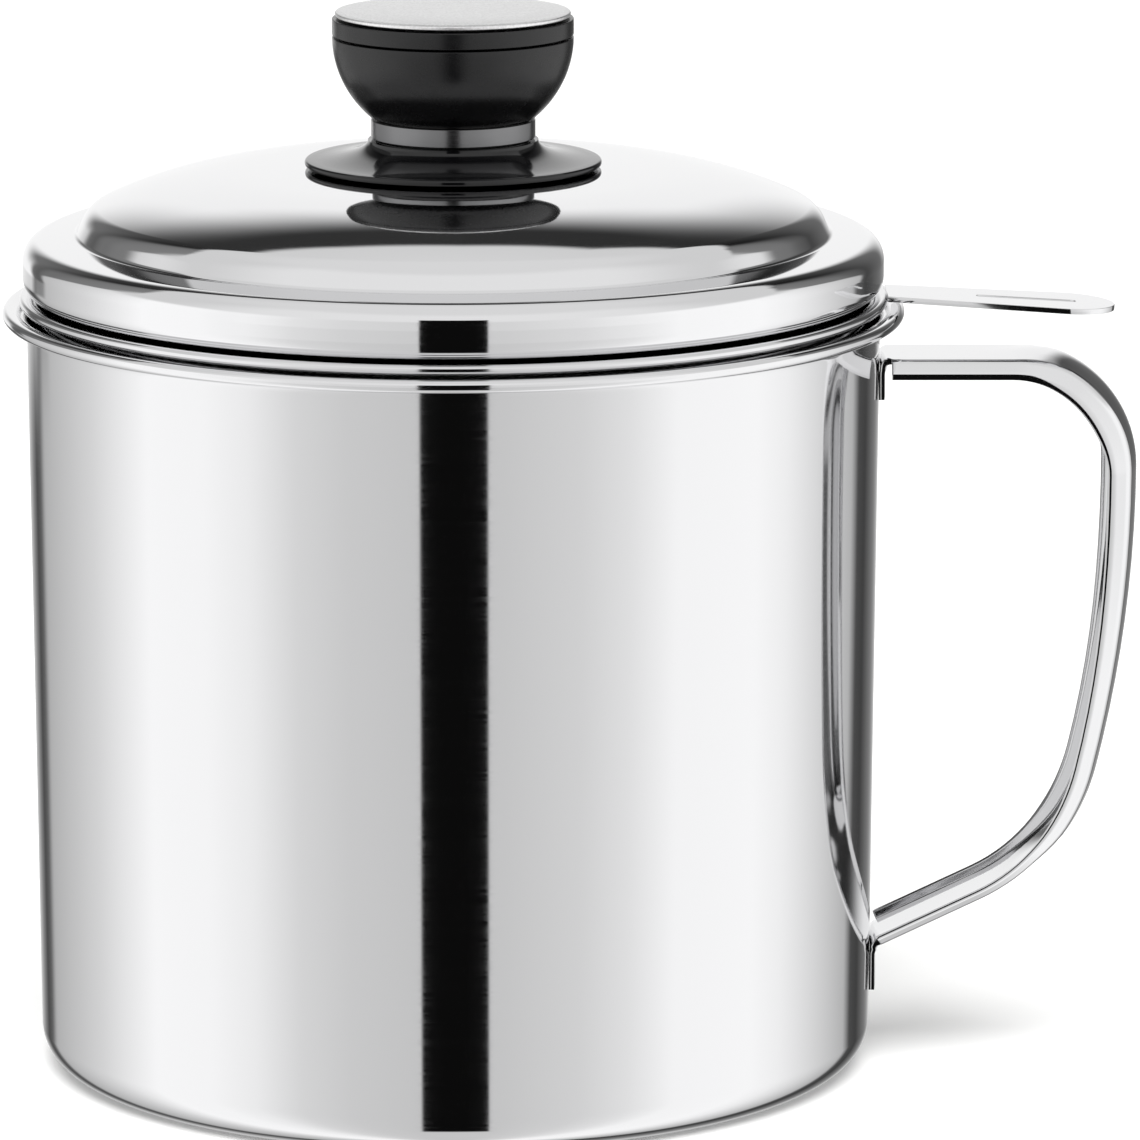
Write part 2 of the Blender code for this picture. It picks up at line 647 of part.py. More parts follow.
def make_knob_top_ring(finish, carrier):
    """Ring that finishes the grip's upper edge and frames the cap."""
    inner = SPIGOT_RADIUS + GAP
    face = GRIP_RADIUS - RING_EDGE
    outline = [(inner, RING_BASE), (face, RING_BASE), (GRIP_RADIUS, RING_BASE + RING_EDGE)]
    outline += [(GRIP_RADIUS, RING_TOP - RING_EDGE), (face, RING_TOP), (inner, RING_TOP)]
    return add_piece("knob_top_ring", turned(outline, KNOB_STEPS), finish, carrier)


def make_knob_cap(finish, carrier):
    """Thin steel disc with a slightly raised middle."""
    radius = GRIP_RADIUS - CAP_INSET
    top = CAP_BASE + CAP_SHEET
    crown = top + CAP_CROWN
    outline = [(0, CAP_BASE), (radius, CAP_BASE), (radius, top)]
    outline += [(radius - CAP_EDGE, top + CAP_CROWN / 2), (radius / 2, crown), (0, crown)]
    bm = turned(outline, KNOB_STEPS)
    flatten_centre(bm)
    return add_piece("knob_cap", bm, finish, carrier)


def make_knob_insert(finish, carrier):
    """Threaded bush with a retaining groove, drawn with a plain bore."""
    top = INSERT_BASE + INSERT_LENGTH
    lower = (INSERT_BASE + top - INSERT_GROOVE_WIDTH) / 2
    upper = (INSERT_BASE + top + INSERT_GROOVE_WIDTH) / 2
    waist = INSERT_RADIUS - INSERT_GROOVE_DEPTH
    outline = [(BORE_RADIUS, INSERT_BASE), (INSERT_RADIUS, INSERT_BASE), (INSERT_RADIUS, lower)]
    outline += [(waist, lower + INSERT_GROOVE_DEPTH), (waist, upper - INSERT_GROOVE_DEPTH)]
    outline += [(INSERT_RADIUS, upper), (INSERT_RADIUS, top), (BORE_RADIUS, top)]
    return add_piece("knob_insert", turned(outline, SMALL_STEPS), finish, carrier)


def make_lid_screw(finish, carrier):
    """Pan-head screw from below the lid up into the insert, with a cross recess."""
    head_base = SCREW_HEAD_TOP - SCREW_HEAD_HEIGHT
    crown = SCREW_HEAD_HEIGHT - SCREW_HEAD_EDGE
    tip = INSERT_BASE + SCREW_ENGAGEMENT
    outline = [(0, tip), (SCREW_RADIUS - SCREW_TIP_CHAMFER, tip)]
    outline += [(SCREW_RADIUS, tip - SCREW_TIP_CHAMFER)]
    outline += [(SCREW_RADIUS, SCREW_HEAD_TOP), (SCREW_HEAD_RADIUS, SCREW_HEAD_TOP)]
    outline += arc((0, head_base + crown), SCREW_HEAD_RADIUS, 0, -math.pi / 2, 4, crown)
    bm = turned(outline, SMALL_STEPS)
    screw = add_piece("lid_screw", bm, finish, carrier)
    arm = SCREW_RECESS_SPAN / 2
    side = SCREW_RECESS_WIDTH / 2
    cross = []
    for turn in range(4):
        for x, y in ((side, side), (side, arm), (-side, arm)):
            for _ in range(turn):
                x, y = -y, x
            cross.append((x, y))
    cutter = prism(cross, head_base - CUT_OVERRUN, SCREW_RECESS_DEPTH + CUT_OVERRUN)
    add_cut(screw, add_piece("screw_recess_cutter", cutter, finish))
    return screw


def make_flat_washer(finish, carrier):
    """Plain washer against the lid's sheet."""
    base = FLAT_WASHER_TOP - FLAT_WASHER_SHEET
    outline = [(BORE_RADIUS, base), (FLAT_WASHER_RADIUS, base)]
    outline += [(FLAT_WASHER_RADIUS, FLAT_WASHER_TOP), (BORE_RADIUS, FLAT_WASHER_TOP)]
    return add_piece("flat_washer", turned(outline, SMALL_STEPS), finish, carrier)


def make_spring_washer(finish, carrier):
    """Split ring between the screw's head and the flat washer."""
    base = SPRING_WASHER_TOP - SPRING_WASHER_SHEET
    split = SPRING_WASHER_SPLIT / SPRING_WASHER_RADIUS
    outline = [(BORE_RADIUS, base), (SPRING_WASHER_RADIUS, base)]
    outline += [(SPRING_WASHER_RADIUS, SPRING_WASHER_TOP), (BORE_RADIUS, SPRING_WASHER_TOP)]
    bm = turned(outline, SMALL_STEPS, math.tau - split, split / 2)
    return add_piece("spring_washer", bm, finish, carrier)


def build():
    """Clear the scene and make every piece on its body's carrier."""
    for old in list(bpy.data.objects):
        bpy.data.objects.remove(old)

    polished = add_material("polished_steel", (0.78, 0.78, 0.79), 0.06, 1)
    lid_finish = add_material("polished_lid_steel", (0.80, 0.80, 0.81), 0.05, 1)
    strap_finish = add_material("polished_strap_steel", (0.78, 0.78, 0.79), 0.10, 1)
    strainer_finish = add_material("polished_strainer_steel", (0.76, 0.76, 0.77), 0.12, 1)
    screen_finish = add_material("punched_steel", (0.72, 0.72, 0.73), 0.25, 1)
    black = add_material("black_phenolic", (0.012, 0.012, 0.013), 0.28, 0)
    collar_finish = add_material("dark_steel", (0.30, 0.30, 0.31), 0.20, 1)
    cap_finish = add_material("satin_steel", (0.70, 0.70, 0.71), 0.28, 1)
    brass = add_material("brass", (0.78, 0.57, 0.25), 0.30, 1)
    zinc = add_material("zinc_plated_steel", (0.62, 0.63, 0.64), 0.32, 1)

    strainer = add_carrier("strainer_carrier", STRAINER_SEAT)
    lid = add_carrier("lid_carrier", LID_SEAT, strainer)

    make_pot_body(polished)
    make_pot_handle(strap_finish)
    make_strainer_bowl(strainer_finish, strainer)
    make_strainer_screen(screen_finish, strainer)
    make_strainer_tab(strainer_finish, strainer)
    make_lid_shell(lid_finish, lid)
    make_knob_foot(black, lid)
    make_knob_collar(collar_finish, lid)
    make_knob_grip(black, lid)
    make_knob_top_ring(black, lid)
    make_knob_cap(cap_finish, lid)
    make_knob_insert(brass, lid)
    make_lid_screw(zinc, lid)
    make_flat_washer(zinc, lid)
    make_spring_washer(zinc, lid)


build()
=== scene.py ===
# %% [markdown]
# # A grease pot with a lift-out strainer and a knobbed lid
# The object is a polished steel kitchen pot. Hot fat is poured through the punched floor of a
# strainer that hangs in the pot's mouth, and a domed lid with a black knob closes both.
# Every piece is sheet metal, a turning or a moulding, so each one could be made from a few
# operations: draw a profile and turn it, or draw a strip and bend it.
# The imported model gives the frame. Its pieces are faceted, so each one that shows is made
# again here at the same place and size, with true sheet edges and fine curves.

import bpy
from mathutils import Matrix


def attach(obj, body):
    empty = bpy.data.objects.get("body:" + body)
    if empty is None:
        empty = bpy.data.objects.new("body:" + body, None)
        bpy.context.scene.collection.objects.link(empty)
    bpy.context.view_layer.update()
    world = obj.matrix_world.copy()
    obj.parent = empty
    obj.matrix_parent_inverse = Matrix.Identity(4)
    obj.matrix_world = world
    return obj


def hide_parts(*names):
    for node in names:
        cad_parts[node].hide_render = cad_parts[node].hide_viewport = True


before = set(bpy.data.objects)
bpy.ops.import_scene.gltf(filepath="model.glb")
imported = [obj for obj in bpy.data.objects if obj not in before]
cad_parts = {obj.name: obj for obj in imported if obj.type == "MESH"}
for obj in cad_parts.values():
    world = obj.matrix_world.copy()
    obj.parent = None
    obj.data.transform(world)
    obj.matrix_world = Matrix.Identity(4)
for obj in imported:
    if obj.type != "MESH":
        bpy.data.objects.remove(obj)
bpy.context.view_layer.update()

# %% Modules and units
import math

import bpy
from mathutils import Matrix

MM = 0.001
print("lengths below are in millimetres times", MM)

# %% [markdown]
# ## Camera
# A product picture of a small pot is taken from far off with a long lens, which keeps its
# upright sides parallel. The camera stands in front, 1.2 m away, and looks down a little.
# A nearer camera with a short lens would show more of the lid and splay the walls.

# %% Camera
scene = bpy.context.scene
look_down = math.radians(11.405)
distance = 1204 * MM
target = (16.375 * MM, 0, 70.26 * MM)
bpy.ops.object.camera_add(
    location=(
        target[0],
        -distance * math.cos(look_down),
        target[2] + distance * math.sin(look_down),
    ),
    rotation=(math.pi / 2 - look_down, 0, 0),
)
camera = bpy.context.object
camera.name = "studio_camera"
camera.data.sensor_width = 36
camera.data.lens = 268.42
scene.camera = camera
scene.view_settings.view_transform = "Standard"
print("camera height", round(camera.location.z, 4), "m")

# %% [markdown]
# ## Helpers for nodes and colours
# Every material and the studio's light are node trees. One function adds a node, sets its
# options, and sets or links its inputs. Another turns a hex colour, which is how a paint or
# metal swatch is usually written, into the linear numbers that a shader wants.

# %% Node and colour helpers
def add_node(tree, kind, settings=None, inputs=None):
    """Add a node with its options, and set each input to a value or link it to a socket."""
    node = tree.nodes.new(kind)
    for key, value in (settings or {}).items():
        setattr(node, key, value)
    for key, value in (inputs or {}).items():
        if isinstance(value, bpy.types.NodeSocket):
            tree.links.new(value, node.inputs[key])
        else:
            node.inputs[key].default_value = value
    return node


def linear(hex_colour):
    """An sRGB hex colour as linear red, green, blue and alpha."""
    parts = [int(hex_colour[i:i + 2], 16) / 255 for i in (1, 3, 5)]
    return (*[c / 12.92 if c <= 0.04045 else ((c + 0.055) / 1.055) ** 2.4 for c in parts], 1)


def set_stops(ramp, stops):
    """Fill a colour ramp with grey stops, given as place and brightness."""
    elements = ramp.color_ramp.elements
    while len(elements) > 1:
        elements.remove(elements[-1])
    for index, (place, grey) in enumerate(stops):
        stop = elements[0] if index == 0 else elements.new(place)
        stop.position = place
        stop.color = (grey, grey, grey, 1)


print("white is", linear("#FFFFFF"))

# %% [markdown]
# ## The studio's light
# Polished steel has no look of its own: it shows what stands round it. The pot was pictured
# in a white tent. The tent is open in a narrow gap in front, where the camera looks in, and a
# white card hangs behind, with a dark gap round it. These make the black line down the front,
# the soft grey sides and the dark band across the lid.
# Real cards would need many lights. The world can be the tent itself: its colour is read from
# the direction, as azimuth round the pot and height above the horizon, so it is smooth and has
# no noise.

# %% Tent directions
world = bpy.data.worlds.new("white_tent")
scene.world = world
world.use_nodes = True
tent = world.node_tree
tent.nodes.clear()

direction = add_node(tent, "ShaderNodeTexCoord")
axes = add_node(tent, "ShaderNodeSeparateXYZ", inputs={0: direction.outputs["Generated"]})
right, back, up = axes.outputs
front = add_node(tent, "ShaderNodeMath", {"operation": "MULTIPLY"}, {0: back, 1: -1.0}).outputs[0]
azimuth = add_node(tent, "ShaderNodeMath", {"operation": "ARCTAN2"}, {0: right, 1: front}).outputs[0]
height = add_node(tent, "ShaderNodeMath", {"operation": "ARCSINE"}, {0: up}).outputs[0]
aside = add_node(tent, "ShaderNodeMath", {"operation": "ABSOLUTE"}, {0: azimuth}).outputs[0]
print("tent nodes for its directions:", len(tent.nodes))

# %% [markdown]
# The tent is then hung like a real one, one cloth before the other. Each cloth has soft edges,
# which are angles in azimuth or height. Its grey may be a number, or a ramp that runs once
# round the pot, from the back over the left side, the front and the right side to the back.

# %% Tent helpers
around = add_node(
    tent,
    "ShaderNodeMapRange",
    inputs={"Value": azimuth, "From Min": -math.pi, "From Max": math.pi},
).outputs["Result"]


def greys_round(stops):
    """Greys that change with the azimuth, from a list of degrees and greys."""
    ramp = add_node(tent, "ShaderNodeValToRGB", inputs={0: around})
    set_stops(ramp, [((angle + 180) / 360, grey) for angle, grey in stops])
    return add_node(tent, "ShaderNodeRGBToBW", inputs={0: ramp.outputs[0]}).outputs[0]


def hang(behind, cloth, *edges):
    """Hang one grey before another, where every edge lets it show.

    An edge is an angle with the degrees where the cloth starts and where it is full, or a
    share from 0 to 1 that is ready.
    """
    share = 1.0
    for edge in edges:
        if isinstance(edge, tuple):
            angle, start, full = edge
            limits = {"Value": angle, "From Min": math.radians(start), "From Max": math.radians(full)}
            edge = add_node(
                tent, "ShaderNodeMapRange", {"interpolation_type": "SMOOTHSTEP"}, limits
            ).outputs["Result"]
        share = add_node(
            tent, "ShaderNodeMath", {"operation": "MULTIPLY"}, {0: share, 1: edge}
        ).outputs[0]
    return add_node(
        tent, "ShaderNodeMix", {"data_type": "FLOAT"}, {"Factor": share, 2: behind, 3: cloth}
    ).outputs[0]


print("tent nodes with its ramp:", len(tent.nodes))

# %% [markdown]
# The tent's wall is brightest at the left and right, where its lamps shine through, and
# greyer near the camera. Above it hangs a roof, whose lower part is brighter in front than at
# the sides.

# %% Tent walls and roof
walls = greys_round([
    (-180, 0.34), (-176, 0.50), (-172, 0.66), (-162, 0.26), (-156, 0.075), (-151, 0.13),
    (-146, 0.50), (-126, 0.67), (-114, 0.79), (-90, 1.13), (-70, 1.11), (-56, 1.01),
    (-42, 0.80), (-28, 0.71), (-12, 0.67), (14, 0.68), (35, 0.77), (49, 0.90), (63, 1.10),
    (90, 1.13), (102, 1.04), (126, 0.69), (138, 0.52), (143, 0.08), (150, 0.055),
    (162, 0.21), (168, 0.37), (173, 0.66), (176, 0.50), (180, 0.34),
])
brighter_walls = add_node(
    tent, "ShaderNodeMath", {"operation": "MULTIPLY"}, {0: walls, 1: 1.14}
).outputs[0]
upper_walls = hang(walls, brighter_walls, (aside, 66, 42))
roof = hang(hang(0.89, 0.73, (aside, 55, 95)), 0.80, (height, 50, 68))
tent_cloth = hang(upper_walls, roof, (height, 21, 30))
print("tent nodes with its walls:", len(tent.nodes))

# %% [markdown]
# Behind the pot the tent is open, and the dark room shows. It is lighter near the horizon than
# under the roof. A white card hangs in the opening, with a foot that is narrower on the right
# and wider on the left.

# %% Card and dark room
plain_room = greys_round([
    (-180, 0.14), (-163, 0.14), (-150, 0.13), (-144, 0.09), (-138, 0.16), (-130, 0.21),
    (-106, 0.26), (106, 0.30), (120, 0.22), (130, 0.19), (138, 0.10), (144, 0.05),
    (152, 0.09), (163, 0.13), (180, 0.13),
])
low_room, high_room = [
    add_node(tent, "ShaderNodeMath", {"operation": "MULTIPLY"}, {0: plain_room, 1: share}).outputs[0]
    for share in (1.25, 0.25)
]
dark_room = hang(plain_room, hang(low_room, high_room, (height, 12, 41)), (aside, 134, 142))

card_left = hang(0.0, 1.0, (azimuth, -157, -170))
right_foot = hang(hang(0.0, 1.0, (azimuth, 171, 179)), 1.0, (height, -12, 0))
card = hang(card_left, 1.0, (azimuth, 160, 173), right_foot)
footed_card = hang(card, 1.0, (height, 12, -4), (azimuth, -148, -154))
opening = hang(dark_room, 1.0, footed_card, (height, 42, 24))
print("tent nodes with its card:", len(tent.nodes))

# %% [markdown]
# The opening's upper edge drops towards the sides, and its lower edge climbs there. The upper
# edge is a share of 60 degrees that changes round the pot, and the lower one is a slanting line
# in azimuth and height.

# %% Edges of the opening
upper_edge = greys_round([
    (-180, 0.842), (-168, 0.825), (-160, 0.79), (-152, 0.775), (-130, 0.775), (-120, 0.735),
    (-112, 0.66), (-106, 0.55), (106, 0.50), (115, 0.60), (126, 0.69), (138, 0.705),
    (157, 0.71), (161, 0.75), (166, 0.825), (180, 0.842),
])
below_edge = add_node(
    tent,
    "ShaderNodeMath",
    {"operation": "MULTIPLY_ADD"},
    {0: upper_edge, 1: -math.radians(60), 2: height},
).outputs[0]
climb = add_node(
    tent, "ShaderNodeMath", {"operation": "MULTIPLY_ADD"}, {0: aside, 1: 0.963, 2: height}
).outputs[0]
over_wall = hang(hang(0.0, 1.0, (climb, 133, 137)), 1.0, (aside, 138, 142))
opened = hang(tent_cloth, opening, (below_edge, 1.2, -1.2), over_wall, (aside, 105, 117))
room = hang(walls, opened, (height, -11, -8.5))
print("tent nodes with its opening:", len(tent.nodes))

# %% [markdown]
# The gap in front has to give the upright wall a black line of one width. A mirror shows the
# camera what lies as far to one side of its facing as the camera lies to the other, so the gap
# is measured by that facing: the direction's part to the right, over its part to the front
# plus the camera's. The values below are slopes of that facing: the gap's shift to the left,
# half its width and the blur of its sides.

# %% Gap in front and the tent's light
GAP_SHIFT = 0.0131
GAP_HALF = 0.079
GAP_BLUR = 0.0025
GAP_GREY = 0.004
across = add_node(
    tent, "ShaderNodeMath", {"operation": "MULTIPLY_ADD"}, {0: back, 1: GAP_SHIFT, 2: right}
).outputs[0]
ahead = add_node(
    tent, "ShaderNodeMath", {"operation": "ADD"}, {0: front, 1: math.cos(look_down)}
).outputs[0]
facing = add_node(tent, "ShaderNodeMath", {"operation": "DIVIDE"}, {0: across, 1: ahead}).outputs[0]
off_middle = add_node(tent, "ShaderNodeMath", {"operation": "ABSOLUTE"}, {0: facing}).outputs[0]
gap_sides = add_node(
    tent,
    "ShaderNodeMapRange",
    inputs={"Value": off_middle, "From Min": GAP_HALF + GAP_BLUR, "From Max": GAP_HALF - GAP_BLUR},
).outputs["Result"]
light = hang(room, GAP_GREY, gap_sides, (height, 36, 34), (height, -54, -50), (aside, 90, 80))

seen = add_node(tent, "ShaderNodeLightPath")
background = hang(light, 1.0, seen.outputs["Is Camera Ray"])
glow = add_node(tent, "ShaderNodeBackground", inputs={"Color": background, "Strength": 1.0})
add_node(tent, "ShaderNodeOutputWorld", inputs={"Surface": glow.outputs[0]})
print("tent nodes:", len(tent.nodes))

# %% [markdown]
# One wide lamp lightens the floor and the black knob, with soft edges to every shadow. It hangs
# in front of the pot and above it, so that most of the shadow falls behind the pot.
# Steel would show the lamp as a hard disc, so mirror reflections leave it out: they see the
# tent. The floor is a white paper sweep. Reflections leave it out too, so that the tent goes on
# below the pot and its foot stays as dark as in a real tent.

# %% Lamp and floor
LAMP_AHEAD = 1200
LAMP_HEIGHT = 2200
bpy.ops.object.light_add(type="AREA", location=(0, -LAMP_AHEAD * MM, LAMP_HEIGHT * MM))
lamp = bpy.context.object
lamp.name = "overhead_lamp"
lamp.data.shape = "DISK"
lamp.data.size = 2600 * MM
lamp.data.energy = 95
lamp.rotation_euler = (math.atan2(LAMP_AHEAD, LAMP_HEIGHT), 0, 0)
lamp.visible_glossy = False

bpy.ops.mesh.primitive_circle_add(vertices=96, radius=9, fill_type="NGON", location=(0, 0, 0))
floor = bpy.context.object
floor.name = "studio_floor"
floor.visible_glossy = False

# Matt paper scatters all the light that it gets, so the floor fades into the white behind it.
paper = bpy.data.materials.new("matt_white_paper_sweep")
paper.use_nodes = True
paper_shader = paper.node_tree.nodes["Principled BSDF"]
paper_shader.inputs["Roughness"].default_value = 0.9
paper_shader.inputs["Base Color"].default_value = linear("#F7F7F6")
floor.data.materials.append(paper)
print("floor is", round(floor.dimensions.x, 1), "m across")

# %% [markdown]
# ## Helpers for modelling
# Nearly every piece here is a turning. It is drawn point by point in the plane that
# holds the axis, by extruding one vertex, and then spun round the axis. Straight runs get a
# support point near each end, because smooth shading would otherwise bend the reflections
# along the whole wall.

# %% Selection and drawing helpers
def clear_selection():
    """Leave edit mode and select nothing."""
    if bpy.context.object and bpy.context.object.mode != "OBJECT":
        bpy.ops.object.mode_set(mode="OBJECT")
    bpy.ops.object.select_all(action="DESELECT")


def make_active(piece):
    """Select one piece alone."""
    clear_selection()
    bpy.context.view_layer.objects.active = piece
    piece.select_set(True)


def arc(centre, radius, start, stop, step=5.0):
    """Points on an arc of radius and height, in millimetres and degrees."""
    count = max(2, math.ceil(abs(stop - start) / step))
    turns = [math.radians(start + (stop - start) * i / count) for i in range(count + 1)]
    return [(centre[0] + radius * math.cos(t), centre[1] + radius * math.sin(t)) for t in turns]


def straight(start, stop, support=0.2):
    """A straight run with support points near its ends."""
    share = min(support / math.dist(start, stop), 0.4)
    near = [(start[i] + (stop[i] - start[i]) * share) for i in (0, 1)]
    far = [(stop[i] + (start[i] - stop[i]) * share) for i in (0, 1)]
    return [start, tuple(near), tuple(far), stop]


def joined(*runs):
    """One path from several, without repeated points."""
    path = []
    for run in runs:
        for point in run:
            if not path or math.dist(path[-1], point) > 0.002:
                path.append(point)
    return path


def beside(path, distance):
    """The same path moved to its right, with mitred corners."""
    moved = []
    for index, point in enumerate(path):
        before, after = path[max(index - 1, 0)], path[min(index + 1, len(path) - 1)]
        sides = []
        for a, b in ((before, point), (point, after)):
            length = math.dist(a, b)
            if length > 0:
                sides.append(((b[1] - a[1]) / length, (a[0] - b[0]) / length))
        side = [sum(part) / len(sides) for part in zip(*sides)]
        scale = distance / (side[0] ** 2 + side[1] ** 2)
        moved.append((point[0] + side[0] * scale, point[1] + side[1] * scale))
    return moved


def sheet_profile(path, thickness):
    """A closed profile of one sheet: the path, its other face to the right, and both edges."""
    other = beside(path, thickness)
    return path + list(reversed(other)) + [path[0]]


print("a quarter turn has", len(arc((0, 0), 1, 0, 90)), "points")

# %% Turning helper
def draw_line(name, points):
    """Draw a line of 3-D points in millimetres by extruding one vertex, and stay in edit mode."""
    clear_selection()
    bpy.ops.mesh.primitive_plane_add(size=MM, location=[value * MM for value in points[0]])
    piece = bpy.context.object
    piece.name = piece.data.name = name
    bpy.ops.object.mode_set(mode="EDIT")
    bpy.ops.mesh.select_all(action="SELECT")
    bpy.ops.mesh.merge(type="CENTER")
    for here, there in zip(points, points[1:]):
        move = [(b - a) * MM for a, b in zip(here, there)]
        bpy.ops.mesh.extrude_region_move(TRANSFORM_OT_translate={"value": move})
    bpy.ops.mesh.select_all(action="SELECT")
    return piece


def close_up(piece, angle=35):
    """Merge doubled points, turn the faces outwards, and shade the piece smooth."""
    bpy.ops.mesh.select_all(action="SELECT")
    bpy.ops.mesh.remove_doubles(threshold=0.001 * MM)
    bpy.ops.mesh.normals_make_consistent(inside=False)
    bpy.ops.object.mode_set(mode="OBJECT")
    bpy.ops.object.transform_apply(location=True, rotation=True, scale=True)
    bpy.ops.object.shade_smooth_by_angle(angle=math.radians(angle))
    print(piece.name, len(piece.data.polygons), "faces")
    return piece


def turn(name, profile, steps=160, angle=35):
    """Turn a profile of radius and height once round the Z axis."""
    piece = draw_line(name, [(radius, 0, height) for radius, height in profile])
    bpy.ops.mesh.spin(steps=steps, angle=math.tau, center=(0, 0, 0), axis=(0, 0, 1))
    return close_up(piece, angle)


# %% [markdown]
# ## Pot
# The pot is deep drawn from one disc of 0.6 mm sheet: a flat floor, a rounded corner and a
# wall that opens by one millimetre. Its mouth is flared out and its edge is rolled under, which
# makes it stiff and safe to the lip.
# The line follows the inner face from the middle of the floor to the end of the roll. The
# outer face lies 0.6 mm to its right, so the roll is a real curl with a hollow.

# %% Pot cup
POT_SHEET = 0.6
POT_FLOOR_RADIUS = 53.3
POT_CORNER = 5.1
POT_MOUTH = (59.4, 105.71)
POT_FLARE = 3.0
POT_ROLL_CENTRE = (62.51, 107.80)
POT_ROLL = 0.9


def rolled_rim(mouth, flare, roll_centre, roll):
    """A mouth that flares out from the wall and is rolled under."""
    return arc((mouth[0] + flare, mouth[1]), flare, 180, 96) + arc(roll_centre, roll, 96, -150, 8)


pot_wall_foot = (POT_FLOOR_RADIUS + POT_CORNER, POT_SHEET + POT_CORNER)
pot_path = joined(
    straight((0, POT_SHEET), (POT_FLOOR_RADIUS, POT_SHEET)),
    arc((POT_FLOOR_RADIUS, pot_wall_foot[1]), POT_CORNER, -90, -0.57, 3),
    straight(pot_wall_foot, POT_MOUTH, 0.6),
    rolled_rim(POT_MOUTH, POT_FLARE, POT_ROLL_CENTRE, POT_ROLL),
)
pot_cup = turn("pot_cup", sheet_profile(pot_path, POT_SHEET))

# %% [markdown]
# ## Strainer
# The strainer is drawn from 0.5 mm sheet in the same way, 30 mm deep, and its rim is
# rolled to hang on the pot's rim. Its floor is cut out, and the narrow ledge that is left
# carries a separate punched disc.

# %% Strainer cup
STRAINER_SHEET = 0.5
LEDGE_RADIUS = 50.3
STRAINER_FLOOR = (53.8, 80.138)
STRAINER_CORNER = 3.5
STRAINER_MOUTH = (58.1, 108.393)
STRAINER_FLARE = 2.0
STRAINER_ROLL_CENTRE = (60.32, 109.65)
STRAINER_ROLL = 0.73
strainer_wall_foot = (STRAINER_FLOOR[0] + STRAINER_CORNER, STRAINER_FLOOR[1] + STRAINER_CORNER)
strainer_path = joined(
    straight((LEDGE_RADIUS, STRAINER_FLOOR[1]), STRAINER_FLOOR),
    arc((STRAINER_FLOOR[0], strainer_wall_foot[1]), STRAINER_CORNER, -90, -1.8, 4),
    straight(strainer_wall_foot, STRAINER_MOUTH, 0.4),
    rolled_rim(STRAINER_MOUTH, STRAINER_FLARE, STRAINER_ROLL_CENTRE, STRAINER_ROLL),
)
strainer_cup = turn("strainer_cup", sheet_profile(strainer_path, STRAINER_SHEET))

# %% [markdown]
# ### Punched disc
# The disc is punched in one stroke with rings of round holes. A punch rounds the edge that it
# enters. One hole is modelled and copied to its place for each of the others, and all of them
# are cut out of the disc at once.

# %% Modifier helpers
def modify(piece, name, kind, settings):
    """Give the active piece a modifier with its settings, and apply it."""
    modifier = piece.modifiers.new(name, kind)
    for key, value in settings.items():
        setattr(modifier, key, value)
    bpy.ops.object.modifier_apply(modifier=name)


def ease_edges(piece, width, segments):
    """Round every sharp edge of the active piece by a width in millimetres."""
    modify(piece, "eased_edges", "BEVEL", {
        "width": width * MM,
        "segments": segments,
        "limit_method": "ANGLE",
        "angle_limit": math.radians(50),
    })


def keep_flat(piece):
    """Shade the wide level faces flat, so that the rounded edges round them don't bend their light."""
    for face in piece.data.polygons:
        if abs(face.normal.z) > 0.99:
            face.use_smooth = False


print("edges are rounded where they bend by more than 50 degrees")

# %% Blank disc and punches
SCREEN_RADIUS = 53.5
SCREEN_SHEET = 0.6
SCREEN_HEIGHT = 80.738
SCREEN_MARGIN = 4.5
HOLE_RINGS = 6
HOLE_RADIUS = 1.3
PUNCH_LENGTH = 3
clear_selection()
bpy.ops.mesh.primitive_cylinder_add(
    vertices=128, radius=SCREEN_RADIUS * MM, depth=SCREEN_SHEET * MM, location=(0, 0, SCREEN_HEIGHT * MM)
)
punched_floor = bpy.context.object
punched_floor.name = punched_floor.data.name = "punched_floor"
bpy.ops.object.transform_apply(location=True)

bpy.ops.mesh.primitive_cylinder_add(
    vertices=24, radius=HOLE_RADIUS * MM, depth=PUNCH_LENGTH * MM, location=(0, 0, SCREEN_HEIGHT * MM)
)
punch = bpy.context.object
punches = [punch]
pitch = (SCREEN_RADIUS - SCREEN_MARGIN) / (HOLE_RINGS - 0.5)
for ring in range(1, HOLE_RINGS):
    for index in range(6 * ring):
        turned_by = math.tau * index / (6 * ring)
        copy = punch.copy()
        copy.data = punch.data.copy()
        copy.location.x = pitch * ring * math.cos(turned_by) * MM
        copy.location.y = pitch * ring * math.sin(turned_by) * MM
        bpy.context.collection.objects.link(copy)
        punches.append(copy)
print("punches:", len(punches), "pitch", round(pitch, 2), "mm")

# %% Punched floor
clear_selection()
for piece in punches:
    piece.select_set(True)
bpy.context.view_layer.objects.active = punch
bpy.ops.object.join()
make_active(punched_floor)
modify(punched_floor, "punch", "BOOLEAN", {"operation": "DIFFERENCE", "object": punch})
ease_edges(punched_floor, 0.12, 2)
bpy.ops.object.shade_smooth_by_angle(angle=math.radians(30))
keep_flat(punched_floor)
bpy.data.objects.remove(punch)
print("punched_floor", len(punched_floor.data.polygons), "faces")

# %% [markdown]
# ### Tongue
# The tongue that lifts the strainer is a strip of 0.8 mm sheet, spot-welded to the rim. It
# widens to a round tip, slopes down a little, and has a shallow pressed groove along it.
# It starts as a plane. Its tip corners are beveled by their full half width, which gives a
# true half circle, and Solidify gives the sheet.

# %% Tongue outline
TONGUE_ROOT = 60.85
TONGUE_LENGTH = 32.2
TONGUE_WIDTH = 14
TONGUE_ROOT_WIDTH = 10.5


